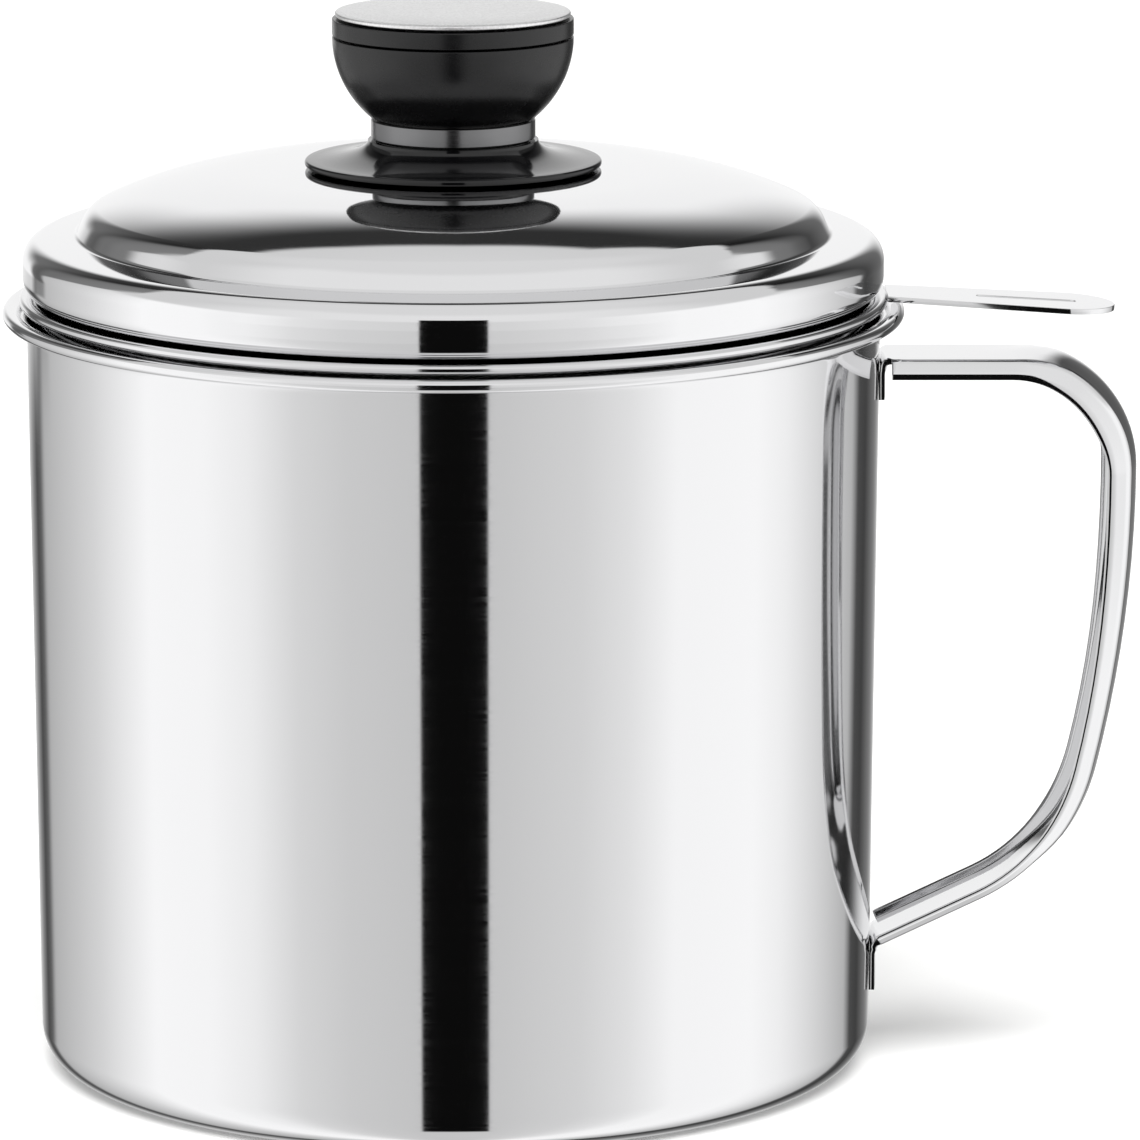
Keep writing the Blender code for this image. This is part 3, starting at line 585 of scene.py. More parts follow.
def draw_strip(name, start, length, width):
    """Draw a flat strip along X, centred on Y, and leave it in edit mode."""
    clear_selection()
    bpy.ops.mesh.primitive_plane_add(size=1, location=((start + length / 2) * MM, 0, 0))
    piece = bpy.context.object
    piece.name = piece.data.name = name
    piece.scale = (length * MM, width * MM, 1)
    bpy.ops.object.transform_apply(location=True, scale=True)
    bpy.ops.object.mode_set(mode="EDIT")
    bpy.ops.mesh.select_mode(type="VERT")
    return piece


def select_points(piece, wanted):
    """In edit mode, select just the points whose place passes a test, in millimetres."""
    bpy.ops.object.mode_set(mode="OBJECT")
    for vertex in piece.data.vertices:
        vertex.select = wanted(*[value / MM for value in vertex.co])
    for edge in piece.data.edges:
        edge.select = all(piece.data.vertices[i].select for i in edge.vertices)
    for polygon in piece.data.polygons:
        polygon.select = all(piece.data.vertices[i].select for i in polygon.vertices)
    bpy.ops.object.mode_set(mode="EDIT")
    return sum(vertex.select for vertex in piece.data.vertices)


tongue = draw_strip("strainer_tongue", TONGUE_ROOT, TONGUE_LENGTH, TONGUE_WIDTH)
select_points(tongue, lambda x, y, z: x > TONGUE_ROOT + 1)
bpy.ops.mesh.bevel(affect="VERTICES", offset=(TONGUE_WIDTH / 2 - 0.02) * MM, segments=18)
select_points(tongue, lambda x, y, z: x < TONGUE_ROOT + 1)
bpy.ops.transform.resize(value=(1, TONGUE_ROOT_WIDTH / TONGUE_WIDTH, 1), center_override=(0, 0, 0))
bpy.ops.object.mode_set(mode="OBJECT")
print("tongue outline has", len(tongue.data.vertices), "points")

# %% Tongue groove
GROOVE_LENGTH = 14
GROOVE_WIDTH = 1.6
GROOVE_DEPTH = 0.15
GROOVE_FROM_TIP = 5.5
TONGUE_SHEET = 0.8
groove_start = TONGUE_ROOT + TONGUE_LENGTH - GROOVE_FROM_TIP - GROOVE_LENGTH
groove = draw_strip("groove_cutter", groove_start, GROOVE_LENGTH, GROOVE_WIDTH)
bpy.ops.mesh.select_all(action="SELECT")
bpy.ops.mesh.bevel(affect="VERTICES", offset=(GROOVE_WIDTH / 2 - 0.02) * MM, segments=8)
bpy.ops.mesh.extrude_region_move(TRANSFORM_OT_translate={"value": (0, 0, 1 * MM)})
bpy.ops.mesh.select_all(action="SELECT")
bpy.ops.mesh.normals_make_consistent(inside=False)
bpy.ops.object.mode_set(mode="OBJECT")
groove.location.z = (TONGUE_SHEET - GROOVE_DEPTH) * MM

make_active(tongue)
modify(tongue, "sheet", "SOLIDIFY", {"thickness": TONGUE_SHEET * MM, "offset": 1})
modify(tongue, "groove", "BOOLEAN", {"operation": "DIFFERENCE", "object": groove})
ease_edges(tongue, 0.13, 3)
bpy.data.objects.remove(groove)
print("grooved tongue", len(tongue.data.polygons), "faces")

# %% Tongue in its place
TONGUE_SLOPE = math.radians(3.3)
HINGE = 61.1
TONGUE_HEIGHT = 109.6
bpy.ops.object.mode_set(mode="EDIT")
bpy.ops.mesh.select_all(action="SELECT")
bpy.ops.transform.translate(value=(-HINGE * MM, 0, 0))
bpy.ops.transform.rotate(value=-TONGUE_SLOPE, orient_axis="Y", center_override=(0, 0, 0))
bpy.ops.transform.translate(value=(HINGE * MM, 0, TONGUE_HEIGHT * MM))
bpy.ops.object.mode_set(mode="OBJECT")
bpy.ops.object.shade_smooth_by_angle(angle=math.radians(35))
keep_flat(tongue)
print("tongue", [round(v / MM, 2) for v in tongue.bound_box[0]], len(tongue.data.polygons), "faces")

# %% [markdown]
# ## Lid
# The lid is pressed from one disc: an almost flat crown, a rounded shoulder and a steep step
# down to a crease. Outside the crease the sheet swells into a round edge, and under that it
# turns down into a skirt that enters the strainer.
# A path that walks from the middle outwards is the simplest way to draw it: each move is a
# straight run or a bend of a given radius, as a press tool's drawing would give it.

# %% Path helper
def walk(start, heading, moves, step=3.0):
    """Walk in radius and height: (length,) goes straight, (radius, degrees) bends to the right."""
    path = [start]
    heading = math.radians(heading)
    for move in moves:
        x, z = path[-1]
        if len(move) == 1:
            stop = (x + move[0] * math.cos(heading), z + move[0] * math.sin(heading))
            path += straight((x, z), stop)[1:]
            continue
        radius, degrees = move
        sign = math.copysign(1, degrees)
        count = max(3, math.ceil(abs(degrees) / step))
        for index in range(1, count + 1):
            now = heading - math.radians(degrees) * index / count
            path.append((
                x + sign * radius * (math.sin(heading) - math.sin(now)),
                z + sign * radius * (math.cos(now) - math.cos(heading)),
            ))
        heading -= math.radians(degrees)
    return path


print("a bend of 90 degrees takes", len(walk((0, 0), 0, [(1, 90)])) - 1, "steps")

# %% Lid dome
LID_TOP = 128.191
CROWN_RADIUS = 900
CROWN_REACH = 29
SHOULDER_RADIUS = 54
SHOULDER_REACH = 20.951
STEP_RADIUS = 4.6
STEP_SLOPE = 62
CREASE_RADIUS = 0.9
CREASE_RING = 53.1
crown_slope = math.asin(CROWN_REACH / CROWN_RADIUS)
shoulder_slope = math.asin(math.sin(crown_slope) + SHOULDER_REACH / SHOULDER_RADIUS)
bends = [
    (CROWN_RADIUS, math.degrees(crown_slope)),
    (SHOULDER_RADIUS, math.degrees(shoulder_slope - crown_slope)),
    (STEP_RADIUS, STEP_SLOPE - math.degrees(shoulder_slope)),
]
reached = walk((0, LID_TOP), 0, bends)[-1][0]
crease_reach = CREASE_RADIUS * math.tan(math.radians(STEP_SLOPE / 2))
step_run = (CREASE_RING - reached) / math.cos(math.radians(STEP_SLOPE)) - crease_reach
dome = walk((0, LID_TOP), 0, bends + [(step_run,), (CREASE_RADIUS, -STEP_SLOPE)])
print("crown height", round(dome[0][1], 3), "crease", [round(v, 3) for v in dome[-1]])

# %% Lid pressing
LID_SHEET = 0.6
SCREW_BORE = 2.95
EDGE_REACH = 60.5
EDGE_RADIUS = 3.2
EDGE_HEIGHT = 115.2
UNDER_RADIUS = 2.699
UNDER_HEIGHT = 113.0
SKIRT_BEND = (EDGE_REACH - UNDER_RADIUS, 109.4)
SKIRT_BEND_RADIUS = 0.9
SKIRT_RADIUS = 56.9
SKIRT_FOOT = 103.933
edge = joined(
    [dome[-1]],
    arc((EDGE_REACH - EDGE_RADIUS, EDGE_HEIGHT), EDGE_RADIUS, 87, 0, 4),
    straight((EDGE_REACH, EDGE_HEIGHT), (EDGE_REACH, UNDER_HEIGHT), 0.3),
    arc((EDGE_REACH - UNDER_RADIUS, UNDER_HEIGHT), UNDER_RADIUS, 0, -88, 4),
    arc(SKIRT_BEND, SKIRT_BEND_RADIUS, 90, 180, 8),
    straight((SKIRT_RADIUS, SKIRT_BEND[1]), (SKIRT_RADIUS, SKIRT_FOOT), 0.3),
)
lid_path = joined([point for point in dome if point[0] > SCREW_BORE], edge)
lid_pressing = turn("lid_pressing", sheet_profile(lid_path, LID_SHEET), angle=40)

# %% [markdown]
# ## Knob
# The knob is black phenolic, a hard plastic that stands the heat of a stove. It comes in four
# mouldings and turnings: a flared foot that sits on the lid, a dark steel collar, a bowl that
# the fingers hold, and a ring that frames a thin steel disc. Every profile has its edges
# rounded, because a sharp moulded edge chips and gives no highlight.

# %% Corner helper
def softened(corners, radius, step=15):
    """Round the inner corners of an open path, which bends less than a half turn at each."""
    path = [corners[0]]
    for before, corner, after in zip(corners, corners[1:], corners[2:]):
        a = math.atan2(before[1] - corner[1], before[0] - corner[0])
        b = math.atan2(after[1] - corner[1], after[0] - corner[0])
        between = (b - a + math.pi) % math.tau - math.pi
        if abs(between) > math.radians(170):
            path.append(corner)
            continue
        reach = min(
            radius / math.tan(abs(between) / 2),
            math.dist(before, corner) * 0.45,
            math.dist(after, corner) * 0.45,
        )
        fit = reach * math.tan(abs(between) / 2)
        middle = a + between / 2
        span = fit / math.sin(abs(between) / 2)
        centre = (corner[0] + span * math.cos(middle), corner[1] + span * math.sin(middle))
        start = (corner[0] + reach * math.cos(a), corner[1] + reach * math.sin(a))
        stop = (corner[0] + reach * math.cos(b), corner[1] + reach * math.sin(b))
        first = math.degrees(math.atan2(start[1] - centre[1], start[0] - centre[0]))
        last = math.degrees(math.atan2(stop[1] - centre[1], stop[0] - centre[0]))
        sweep = (last - first + 180) % 360 - 180
        path += arc(centre, fit, first, first + sweep, step)
    return path + [corners[-1]]


print("a softened corner has", len(softened([(0, 0), (1, 0), (1, 1)], 0.2)) - 2, "points")

# %% Knob foot
CLEARANCE = 0.3
FOOT_BASE = 128.266
FOOT_LIP = 129.166
FOOT_TOP = 131.966
FOOT_RADIUS = 20.85
FOOT_RECESS = 129.668
NECK_RADIUS = 11.94
COLLAR_BORE = 10.84
foot_flare = [
    (
        FOOT_RADIUS + (FOOT_RADIUS - NECK_RADIUS) * math.cos(t),
        FOOT_TOP + (FOOT_TOP - FOOT_LIP) * math.sin(t),
    )
    for t in [math.radians(-90 - 4.5 * i) for i in range(21)]
]
foot_underside = [(r, FOOT_BASE) for r in (SCREW_BORE, 17.85, 19.9, FOOT_RADIUS)]
foot_profile = joined(
    softened(foot_underside + [(FOOT_RADIUS, FOOT_LIP), foot_flare[2]], 0.4),
    foot_flare[2:],
    softened([foot_flare[-1], (COLLAR_BORE, FOOT_TOP), (COLLAR_BORE, FOOT_RECESS)], 0.15),
    [(SCREW_BORE, FOOT_RECESS), (SCREW_BORE, FOOT_BASE)],
)
knob_foot = turn("knob_foot", foot_profile)

# %% [markdown]
# The collar, the ring at the top and the washers are all flat rings with a square section. One
# function gives the section, and a turn makes the ring.

# %% Knob collar
COLLAR_RADIUS = 11.54
COLLAR_HEIGHT = 2.6


def square_ring(inner, outer, low, high, edge, step=15):
    """The section of a flat ring with rounded edges, which starts half way up its bore."""
    middle = (inner, (low + high) / 2)
    corners = [(inner, low), (outer, low), (outer, high), (inner, high)]
    return softened([middle, *corners, middle], edge, step)


collar_foot = FOOT_TOP + CLEARANCE
collar_top = collar_foot + COLLAR_HEIGHT
knob_collar_ring = turn(
    "knob_collar_ring", square_ring(COLLAR_BORE, COLLAR_RADIUS, collar_foot, collar_top, 0.15)
)

# %% [markdown]
# The bowl is one moulding: a spigot that passes through the collar, the bowl itself, and a core
# on which the ring and the disc sit. Its side is a piece of an ellipse, so that the fingers find
# a hold under it. It stops 0.3 mm below the ring, which leaves the fine seam.

# %% Knob bowl
GRIP_RADIUS = 16.92
GRIP_TOP = 146.466
GRIP_DEPTH = 11.3
SPIGOT_FOOT = 130.224
BUSH_HOLE = 4.45
BUSH_HOLE_END = 141.024
CORE_RADIUS = 12.92
CORE_TOP = 148.066
grip_foot = collar_top + CLEARANCE
spigot_radius = COLLAR_BORE - CLEARANCE
lowest = math.acos(COLLAR_RADIUS / GRIP_RADIUS)
rise = GRIP_DEPTH / math.sin(lowest)
bowl_side = [
    (GRIP_RADIUS * math.cos(t), GRIP_TOP + rise * math.sin(t))
    for t in [-lowest * (1 - i / 24) for i in range(25)]
]
bowl_profile = joined(
    [(0, BUSH_HOLE_END), (BUSH_HOLE, BUSH_HOLE_END), (BUSH_HOLE, SPIGOT_FOOT)],
    softened([(BUSH_HOLE, SPIGOT_FOOT), (spigot_radius, SPIGOT_FOOT), (spigot_radius, grip_foot)], 0.2),
    softened([(spigot_radius, grip_foot), bowl_side[0], bowl_side[2]], 0.25)[1:],
    bowl_side[2:-2],
    softened([bowl_side[-3], bowl_side[-1], (CORE_RADIUS, GRIP_TOP)], 0.14)[1:],
    [(CORE_RADIUS, GRIP_TOP), (CORE_RADIUS, CORE_TOP), (0, CORE_TOP)],
)
knob_bowl = turn("knob_bowl", bowl_profile)

# %% Knob ring
RING_HEIGHT = 2.3
ring_foot = GRIP_TOP + CLEARANCE
ring_top = ring_foot + RING_HEIGHT
knob_rim = turn(
    "knob_rim", square_ring(CORE_RADIUS + CLEARANCE, GRIP_RADIUS, ring_foot, ring_top, 0.16, 10)
)

# %% [markdown]
# The disc on top is pressed from thin steel, with a rolled edge and a bare, slightly raised
# middle.

# %% Knob disc
DISC_RADIUS = 16.5
disc_foot = ring_top + CLEARANCE
disc_outline = [
    (0, 0), (DISC_RADIUS, 0), (DISC_RADIUS, 0.584), (15.6, 0.754), (14.9, 0.754), (14.3, 0.854),
    (9, 1), (0, 1),
]
disc_profile = joined(softened([(r, disc_foot + up) for r, up in disc_outline], 0.25))
knob_disc = turn("knob_disc", disc_profile, angle=40)

# %% [markdown]
# ## What holds the knob
# Inside, a brass bush is moulded into the bowl. A pan-head screw comes up through the lid with
# a plain washer and a split spring washer. They show when the lid is lifted off and turned
# over, so the screw has a cross recess and a real thread.

# %% Bush and washers
BUSH_RADIUS = 4.15
WAIST_RADIUS = 3.75
bush_profile = softened(
    [(SCREW_BORE, 135), (SCREW_BORE, 130.724), (BUSH_RADIUS, 130.724), (BUSH_RADIUS, 134.524),
     (WAIST_RADIUS, 134.924), (WAIST_RADIUS, 136.524), (BUSH_RADIUS, 136.924),
     (BUSH_RADIUS, 140.724), (SCREW_BORE, 140.724), (SCREW_BORE, 135)],
    0.12,
)
brass_bush = turn("brass_bush", bush_profile, 64)

WASHER_RADIUS = 6.5
plain_washer = turn("plain_washer", square_ring(SCREW_BORE, WASHER_RADIUS, 126.287, 127.287, 0.2), 96)

SPRING_RADIUS = 4.4
SPRING_SPLIT = 0.6
split = SPRING_SPLIT / SPRING_RADIUS
spring_line = square_ring(SCREW_BORE, SPRING_RADIUS, 124.787, 125.987, 0.15)
start_line = [(r * math.cos(split / 2), r * math.sin(split / 2), z) for r, z in spring_line]
split_washer = draw_line("split_washer", start_line)
bpy.ops.mesh.remove_doubles(threshold=0.001 * MM)
bpy.ops.mesh.edge_face_add()
bpy.ops.mesh.spin(steps=60, angle=math.tau - split, center=(0, 0, 0), axis=(0, 0, 1))
close_up(split_washer)

# %% [markdown]
# The screw's head and shank are turned. Its cross recess is cut by two crossed bars, as the
# punch of a heading machine would press it, and its thread is a ridge that the Screw modifier
# winds up the shank. The thread stays a piece of its own, which keeps both meshes clean.

# %% Screw
SCREW_TIP = 139.224
ROOT_RADIUS = 2.0
SHANK_RADIUS = 2.45
HEAD_RADIUS = 4.6
HEAD_SEAT = 124.487
HEAD_EDGE = 123.387
HEAD_RISE = 1.458
screw_line = joined(
    [(0, SCREW_TIP), (1.5, SCREW_TIP), (ROOT_RADIUS, 138.7), (ROOT_RADIUS, 127.6), (SHANK_RADIUS, 127.1)],
    softened([(SHANK_RADIUS, 127.1), (SHANK_RADIUS, HEAD_SEAT), (HEAD_RADIUS, HEAD_SEAT),
              (HEAD_RADIUS, HEAD_EDGE)], 0.15),
    [(HEAD_RADIUS * math.cos(t), HEAD_EDGE - HEAD_RISE * math.sin(t))
     for t in [math.radians(9 * i) for i in range(11)]],
)
steel_screw = turn("steel_screw", screw_line, 64)

# %% Cross recess
RECESS_SPAN = 4.6
RECESS_WIDTH = 0.9
RECESS_TOP = 123.25
RECESS_HEIGHT = 2.3
clear_selection()
bpy.ops.mesh.primitive_cube_add(size=1, location=(0, 0, (RECESS_TOP - RECESS_HEIGHT / 2) * MM))
recess = bpy.context.object
recess.scale = (RECESS_SPAN * MM, RECESS_WIDTH * MM, RECESS_HEIGHT * MM)
bpy.ops.object.transform_apply(location=True, scale=True)
bpy.ops.object.mode_set(mode="EDIT")
bpy.ops.mesh.select_all(action="SELECT")
bpy.ops.mesh.duplicate()
bpy.ops.transform.rotate(value=math.pi / 2, orient_axis="Z", center_override=(0, 0, 0))
bpy.ops.object.mode_set(mode="OBJECT")
make_active(steel_screw)
modify(steel_screw, "cross_recess", "BOOLEAN",
       {"operation": "DIFFERENCE", "use_self": True, "object": recess})
bpy.data.objects.remove(recess)
bpy.ops.object.shade_smooth_by_angle(angle=math.radians(35))
print("steel_screw", len(steel_screw.data.polygons), "faces")

# %% Screw thread
THREAD_PITCH = 0.8
THREAD_TURNS = 13
THREAD_START = 127.9
thread_root = ROOT_RADIUS - 0.05
thread = draw_line("screw_thread", [
    (thread_root, 0, THREAD_START),
    (SHANK_RADIUS, 0, THREAD_START + 0.35),
    (SHANK_RADIUS, 0, THREAD_START + 0.45),
    (thread_root, 0, THREAD_START + THREAD_PITCH),
])
bpy.ops.object.mode_set(mode="OBJECT")
bpy.ops.object.transform_apply(location=True)
modify(thread, "helix", "SCREW", {
    "axis": "Z",
    "angle": math.tau,
    "screw_offset": THREAD_PITCH * MM,
    "iterations": THREAD_TURNS - 1,
    "steps": 32,
    "render_steps": 32,
    "use_merge_vertices": False,
})
bpy.ops.object.mode_set(mode="EDIT")
bpy.ops.mesh.select_all(action="SELECT")
bpy.ops.mesh.normals_make_consistent(inside=False)
bpy.ops.object.mode_set(mode="OBJECT")
bpy.ops.object.shade_smooth_by_angle(angle=math.radians(40))
print("screw_thread", len(thread.data.polygons), "faces")

# %% [markdown]
# ## Strap handle
# The handle is a strip of 0.8 mm steel, 16 mm wide over its folds. Its top is flat, and both
# long edges are folded down towards the hand, which makes it stiff and smooth to hold. The two
# ends are left flat, bent and spot-welded to the pot's wall.
# It is made as a bending tool would: a line across the strip is pushed along the straight
# runs and spun round each bend's own centre. The ends carry only the flat line, and the loop
# carries the line with its two folded edges, which tuck under by a few degrees. A curve with
# this section as its bevel would be quicker, but its folds could not change along the way.

# %% Strap section
FLAT_HALF = 5.97
flat_top = [(FLAT_HALF * i / 5, 0) for i in range(6)]
section = flat_top + walk(flat_top[-1], 0, [(1.2, 60), (1.5,), (1.8, 42)], 5)[1:]


def strap_line(half, share):
    """Both halves of a line across the strip, as distance across and depth below its middle."""
    depths = [(y, -z * share) for y, z in half]
    return [(-y, depth) for y, depth in reversed(depths[1:])] + depths


print("strap half width", round(max(y for y, z in section), 2), "fold depth", round(-section[-1][1], 2))

# %% Bending helpers
def push(distance, heading):
    """Extrude the selected line straight ahead in the XZ plane."""
    move = (distance * MM * math.cos(heading), 0, distance * MM * math.sin(heading))
    bpy.ops.mesh.extrude_region_move(TRANSFORM_OT_translate={"value": move})


def bend(centre, degrees, step):
    """Spin the selected line about a bend's centre in the XZ plane, rightwards if positive."""
    bpy.ops.mesh.spin(
        steps=math.ceil(abs(degrees) / step),
        angle=-math.radians(degrees),
        center=(centre[0] * MM, 0, centre[1] * MM),
        axis=(0, 1, 0),
    )


def swing(centre, radius, heading, degrees, step, first, last):
    """Bend the line by steps while its folds ease from one depth to another."""
    count = math.ceil(degrees / step)
    depths = []
    for index in range(count + 1):
        along = index / count
        depths.append(first + (last - first) * along * along * (3 - 2 * along))
    for before, after in zip(depths, depths[1:]):
        bend(centre, degrees / count, step)
        heading -= math.radians(degrees / count)
        outer = (centre[0] - radius * math.sin(heading), centre[1] + radius * math.cos(heading))
        bpy.ops.transform.resize(
            value=(1, 1, after / before),
            orient_type="GLOBAL",
            orient_matrix=Matrix.Rotation(-heading, 3, "Y"),
            orient_matrix_type="GLOBAL",
            constraint_axis=(False, False, True),
            center_override=(outer[0] * MM, 0, outer[1] * MM),
        )


print("bending helpers ready")

# %% [markdown]
# The loop starts at the wall and runs out level, turns down through the tight upper bend, goes
# down the long belly that the palm rests on, and comes back to the wall through the wide lower
# bend and a slope. Its folds are deepest in the upper bend and shallow on the slope. The shares
# below are the depth at each place over the section's own depth.

# %% Strap loop
RUN_SHARE = 0.84
BEND_SHARE = 1.06
GRIP_SHARE = 0.94
BELLY_SHARE = 0.74
SLOPE_SHARE = 0.55
LOOP_START = (61.5, 101.65)
UPPER_BEND = 16.3
BELLY = 182
BELLY_TURN = 13.6
LOWER_BEND = 28
SLOPE = 25.5
GRIP_REACH = 96.4
CROWN = 1.5
SUPPORT = 0.3
quarter = math.pi / 2
upper_centre = (78.6, LOOP_START[1] - UPPER_BEND)
belly_centre = (GRIP_REACH - CROWN - BELLY, upper_centre[1])
belly_end = math.radians(BELLY_TURN)
lower_centre = (
    belly_centre[0] + (BELLY - LOWER_BEND) * math.cos(belly_end),
    belly_centre[1] - (BELLY - LOWER_BEND) * math.sin(belly_end),
)
strap = draw_line("strap_handle", [
    (LOOP_START[0], y, LOOP_START[1] - depth) for y, depth in strap_line(section, RUN_SHARE)
])
quarter_run = (upper_centre[0] - LOOP_START[0] - SUPPORT) / 4
for part in (SUPPORT, quarter_run, quarter_run, quarter_run, quarter_run):
    push(part, 0)
swing(upper_centre, UPPER_BEND, 0, 60, 3, RUN_SHARE, BEND_SHARE)
swing(upper_centre, UPPER_BEND, -math.radians(60), 30, 3, BEND_SHARE, GRIP_SHARE)
swing(belly_centre, BELLY, -quarter, BELLY_TURN, 1.5, GRIP_SHARE, BELLY_SHARE)
lower_turn = 90 - SLOPE - BELLY_TURN
swing(lower_centre, LOWER_BEND, -quarter - belly_end, lower_turn, 3, BELLY_SHARE, SLOPE_SHARE)
print("bend centres", upper_centre, [round(v, 2) for v in belly_centre + lower_centre])

# %% Strap slope
SLOPE_STOP = 60.6
slope = math.radians(SLOPE)
slope_start = (
    lower_centre[0] + LOWER_BEND * math.sin(slope),
    lower_centre[1] - LOWER_BEND * math.cos(slope),
)
slope_length = (slope_start[0] - SLOPE_STOP) / math.cos(slope)
for part in (SUPPORT, slope_length - 2 * SUPPORT, SUPPORT):
    push(part, math.pi + slope)
close_up(strap, 40)
print("slope starts at", [round(v, 2) for v in slope_start], "length", round(slope_length, 2))

# %% [markdown]
# Each end is a flat line, pushed to the wall, bent along it and pushed on as a weld tab. The
# upper bend has a radius of 1.3 mm and the lower one of 0.8 mm, the sheet's own thickness,
# which is about as tight as such steel bends.

# %% Upper weld end
WALL = 60.0
UPPER_FOOT = 95.8
UPPER_FOLD = 1.3
UPPER_SUPPORT = 0.7
upper_end = draw_line("upper_weld_end", [
    (LOOP_START[0], y, LOOP_START[1] - depth) for y, depth in strap_line(flat_top, RUN_SHARE)
])
push(LOOP_START[0] - WALL - UPPER_FOLD, math.pi)
bend((WALL + UPPER_FOLD, LOOP_START[1] - UPPER_FOLD), -90, 10)
push(UPPER_SUPPORT, -quarter)
push(LOOP_START[1] - UPPER_FOLD - UPPER_SUPPORT - UPPER_FOOT, -quarter)
close_up(upper_end, 40)

# %% Lower weld end
TAB_FACE = 59.95
LOWER_FOOT = 10.5
LOWER_FOLD = 0.8
LOWER_SUPPORT = 0.6
fold_turn = 90 - SLOPE
fold_reach = LOWER_FOLD * math.tan(math.radians(fold_turn) / 2)
slope_stop = (SLOPE_STOP, slope_start[1] - slope_length * math.sin(slope))
lead = (SLOPE_STOP - TAB_FACE) / math.cos(slope) - fold_reach
fold_start = (slope_stop[0] - lead * math.cos(slope), slope_stop[1] - lead * math.sin(slope))
fold_centre = (
    fold_start[0] + LOWER_FOLD * math.sin(slope),
    fold_start[1] - LOWER_FOLD * math.cos(slope),
)
tab_top = slope_stop[1] - (SLOPE_STOP - TAB_FACE) * math.tan(slope) - fold_reach
lower_end = draw_line("lower_weld_end", [
    (slope_stop[0], y, slope_stop[1] - depth) for y, depth in strap_line(flat_top, SLOPE_SHARE)
])
push(lead, math.pi + slope)
bend(fold_centre, -fold_turn, 8)
push(LOWER_SUPPORT, -quarter)
push(tab_top - LOWER_SUPPORT - LOWER_FOOT, -quarter)
close_up(lower_end, 40)
print("lower weld tab from height", round(tab_top, 2), "to", LOWER_FOOT)

# %% [markdown]
# The three stretches are joined into one strip and stitched where they meet. The weld tabs lie
# against the round wall, so their points are pushed back to its curve.
# Where the hand grips it, the strip's top is crowned: the points along its middle are pushed
# outwards and take their neighbours with them, by proportional editing. Solidify then adds
# the sheet's thickness on the inner side of the loop, and Bevel takes off its cut edges.

# %% Strap joined to the wall
UPPER_TAB_TOP = 99.8
tab_heights = ((LOWER_FOOT - 1, tab_top - SUPPORT), (UPPER_FOOT - 1, UPPER_TAB_TOP))
clear_selection()
for part in (strap, upper_end, lower_end):
    part.select_set(True)
bpy.context.view_layer.objects.active = strap
bpy.ops.object.join()
bpy.ops.object.mode_set(mode="EDIT")
bpy.ops.mesh.select_all(action="SELECT")
bpy.ops.mesh.remove_doubles(threshold=0.01 * MM)
for side in [y for y, z in flat_top]:
    fall = WALL - math.sqrt(WALL ** 2 - side ** 2)
    for low, high in tab_heights:
        select_points(
            strap, lambda x, y, z: x < WALL + 1 and low < z < high and abs(abs(y) - side) < 0.05
        )
        bpy.ops.transform.translate(value=(-fall * MM, 0, 0))
bpy.ops.mesh.select_all(action="SELECT")
bpy.ops.mesh.normals_make_consistent(inside=False)
bpy.ops.object.mode_set(mode="OBJECT")
make_active(strap)
highest = max(strap.data.polygons, key=lambda face: face.center.z)
if highest.normal.z < 0:
    bpy.ops.object.mode_set(mode="EDIT")
    bpy.ops.mesh.flip_normals()
    bpy.ops.object.mode_set(mode="OBJECT")
print("strap strip", len(strap.data.polygons), "faces")

# %% Strap crown and sheet
STRAP_SHEET = 0.8
CROWN_FROM = 86
CROWN_SPREAD = 10
grip_points = select_points(strap, lambda x, y, z: x > CROWN_FROM and abs(y) < 0.01)
bpy.ops.transform.shrink_fatten(
    value=CROWN * MM,
    use_proportional_edit=True,
    proportional_edit_falloff="SMOOTH",
    proportional_size=CROWN_SPREAD * MM,
)
bpy.ops.object.mode_set(mode="OBJECT")
print("crowned", grip_points, "points, reach", round(max(v.co.x for v in strap.data.vertices) / MM, 2))
modify(strap, "sheet", "SOLIDIFY",
       {"thickness": STRAP_SHEET * MM, "offset": -1, "use_even_offset": True})
ease_edges(strap, 0.22, 3)
bpy.ops.object.shade_smooth_by_angle(angle=math.radians(40))
print("strap_handle", len(strap.data.polygons), "faces")

# %% [markdown]
# ## Steel finishes
# Stainless steel is nearly colourless. Spun and buffed, it mirrors the room, and the buffing
# leaves fine rings round its axis that smear a highlight by a hair. Inside a pot it is left
# satin, with deeper rings. The rings are noise that is stretched round the axis: it is read
# from the distance to the axis and the height, both in real millimetres.
# Real buffing lines are a few hundredths of a millimetre apart, too fine to show here, so they
# are drawn 0.1 to 0.3 mm apart.

# %% Grain coordinates
def ring_coordinates(tree, spacing):
    """Coordinates whose noise runs in rings about the Z axis, with a spacing in millimetres."""
    place = add_node(tree, "ShaderNodeTexCoord").outputs["Object"]
    x, y, z = add_node(tree, "ShaderNodeSeparateXYZ", inputs={0: place}).outputs
    x_squared, y_squared = [
        add_node(tree, "ShaderNodeMath", {"operation": "MULTIPLY"}, {0: part, 1: part}).outputs[0]
        for part in (x, y)
    ]
    total = add_node(tree, "ShaderNodeMath", {"operation": "ADD"}, {0: x_squared, 1: y_squared})
    radius = add_node(tree, "ShaderNodeMath", {"operation": "SQRT"}, {0: total.outputs[0]})
    bearing = add_node(tree, "ShaderNodeMath", {"operation": "ARCTAN2"}, {0: y, 1: x})
    seamless = add_node(tree, "ShaderNodeMath", {"operation": "ABSOLUTE"}, {0: bearing.outputs[0]})
    packed = add_node(
        tree, "ShaderNodeCombineXYZ", inputs={0: radius.outputs[0], 1: z, 2: seamless.outputs[0]}
    )
    scale = 1 / (spacing * MM)
    return add_node(
        tree, "ShaderNodeMapping", inputs={"Vector": packed.outputs[0], "Scale": (scale, scale, 3.0)}
    ).outputs[0]


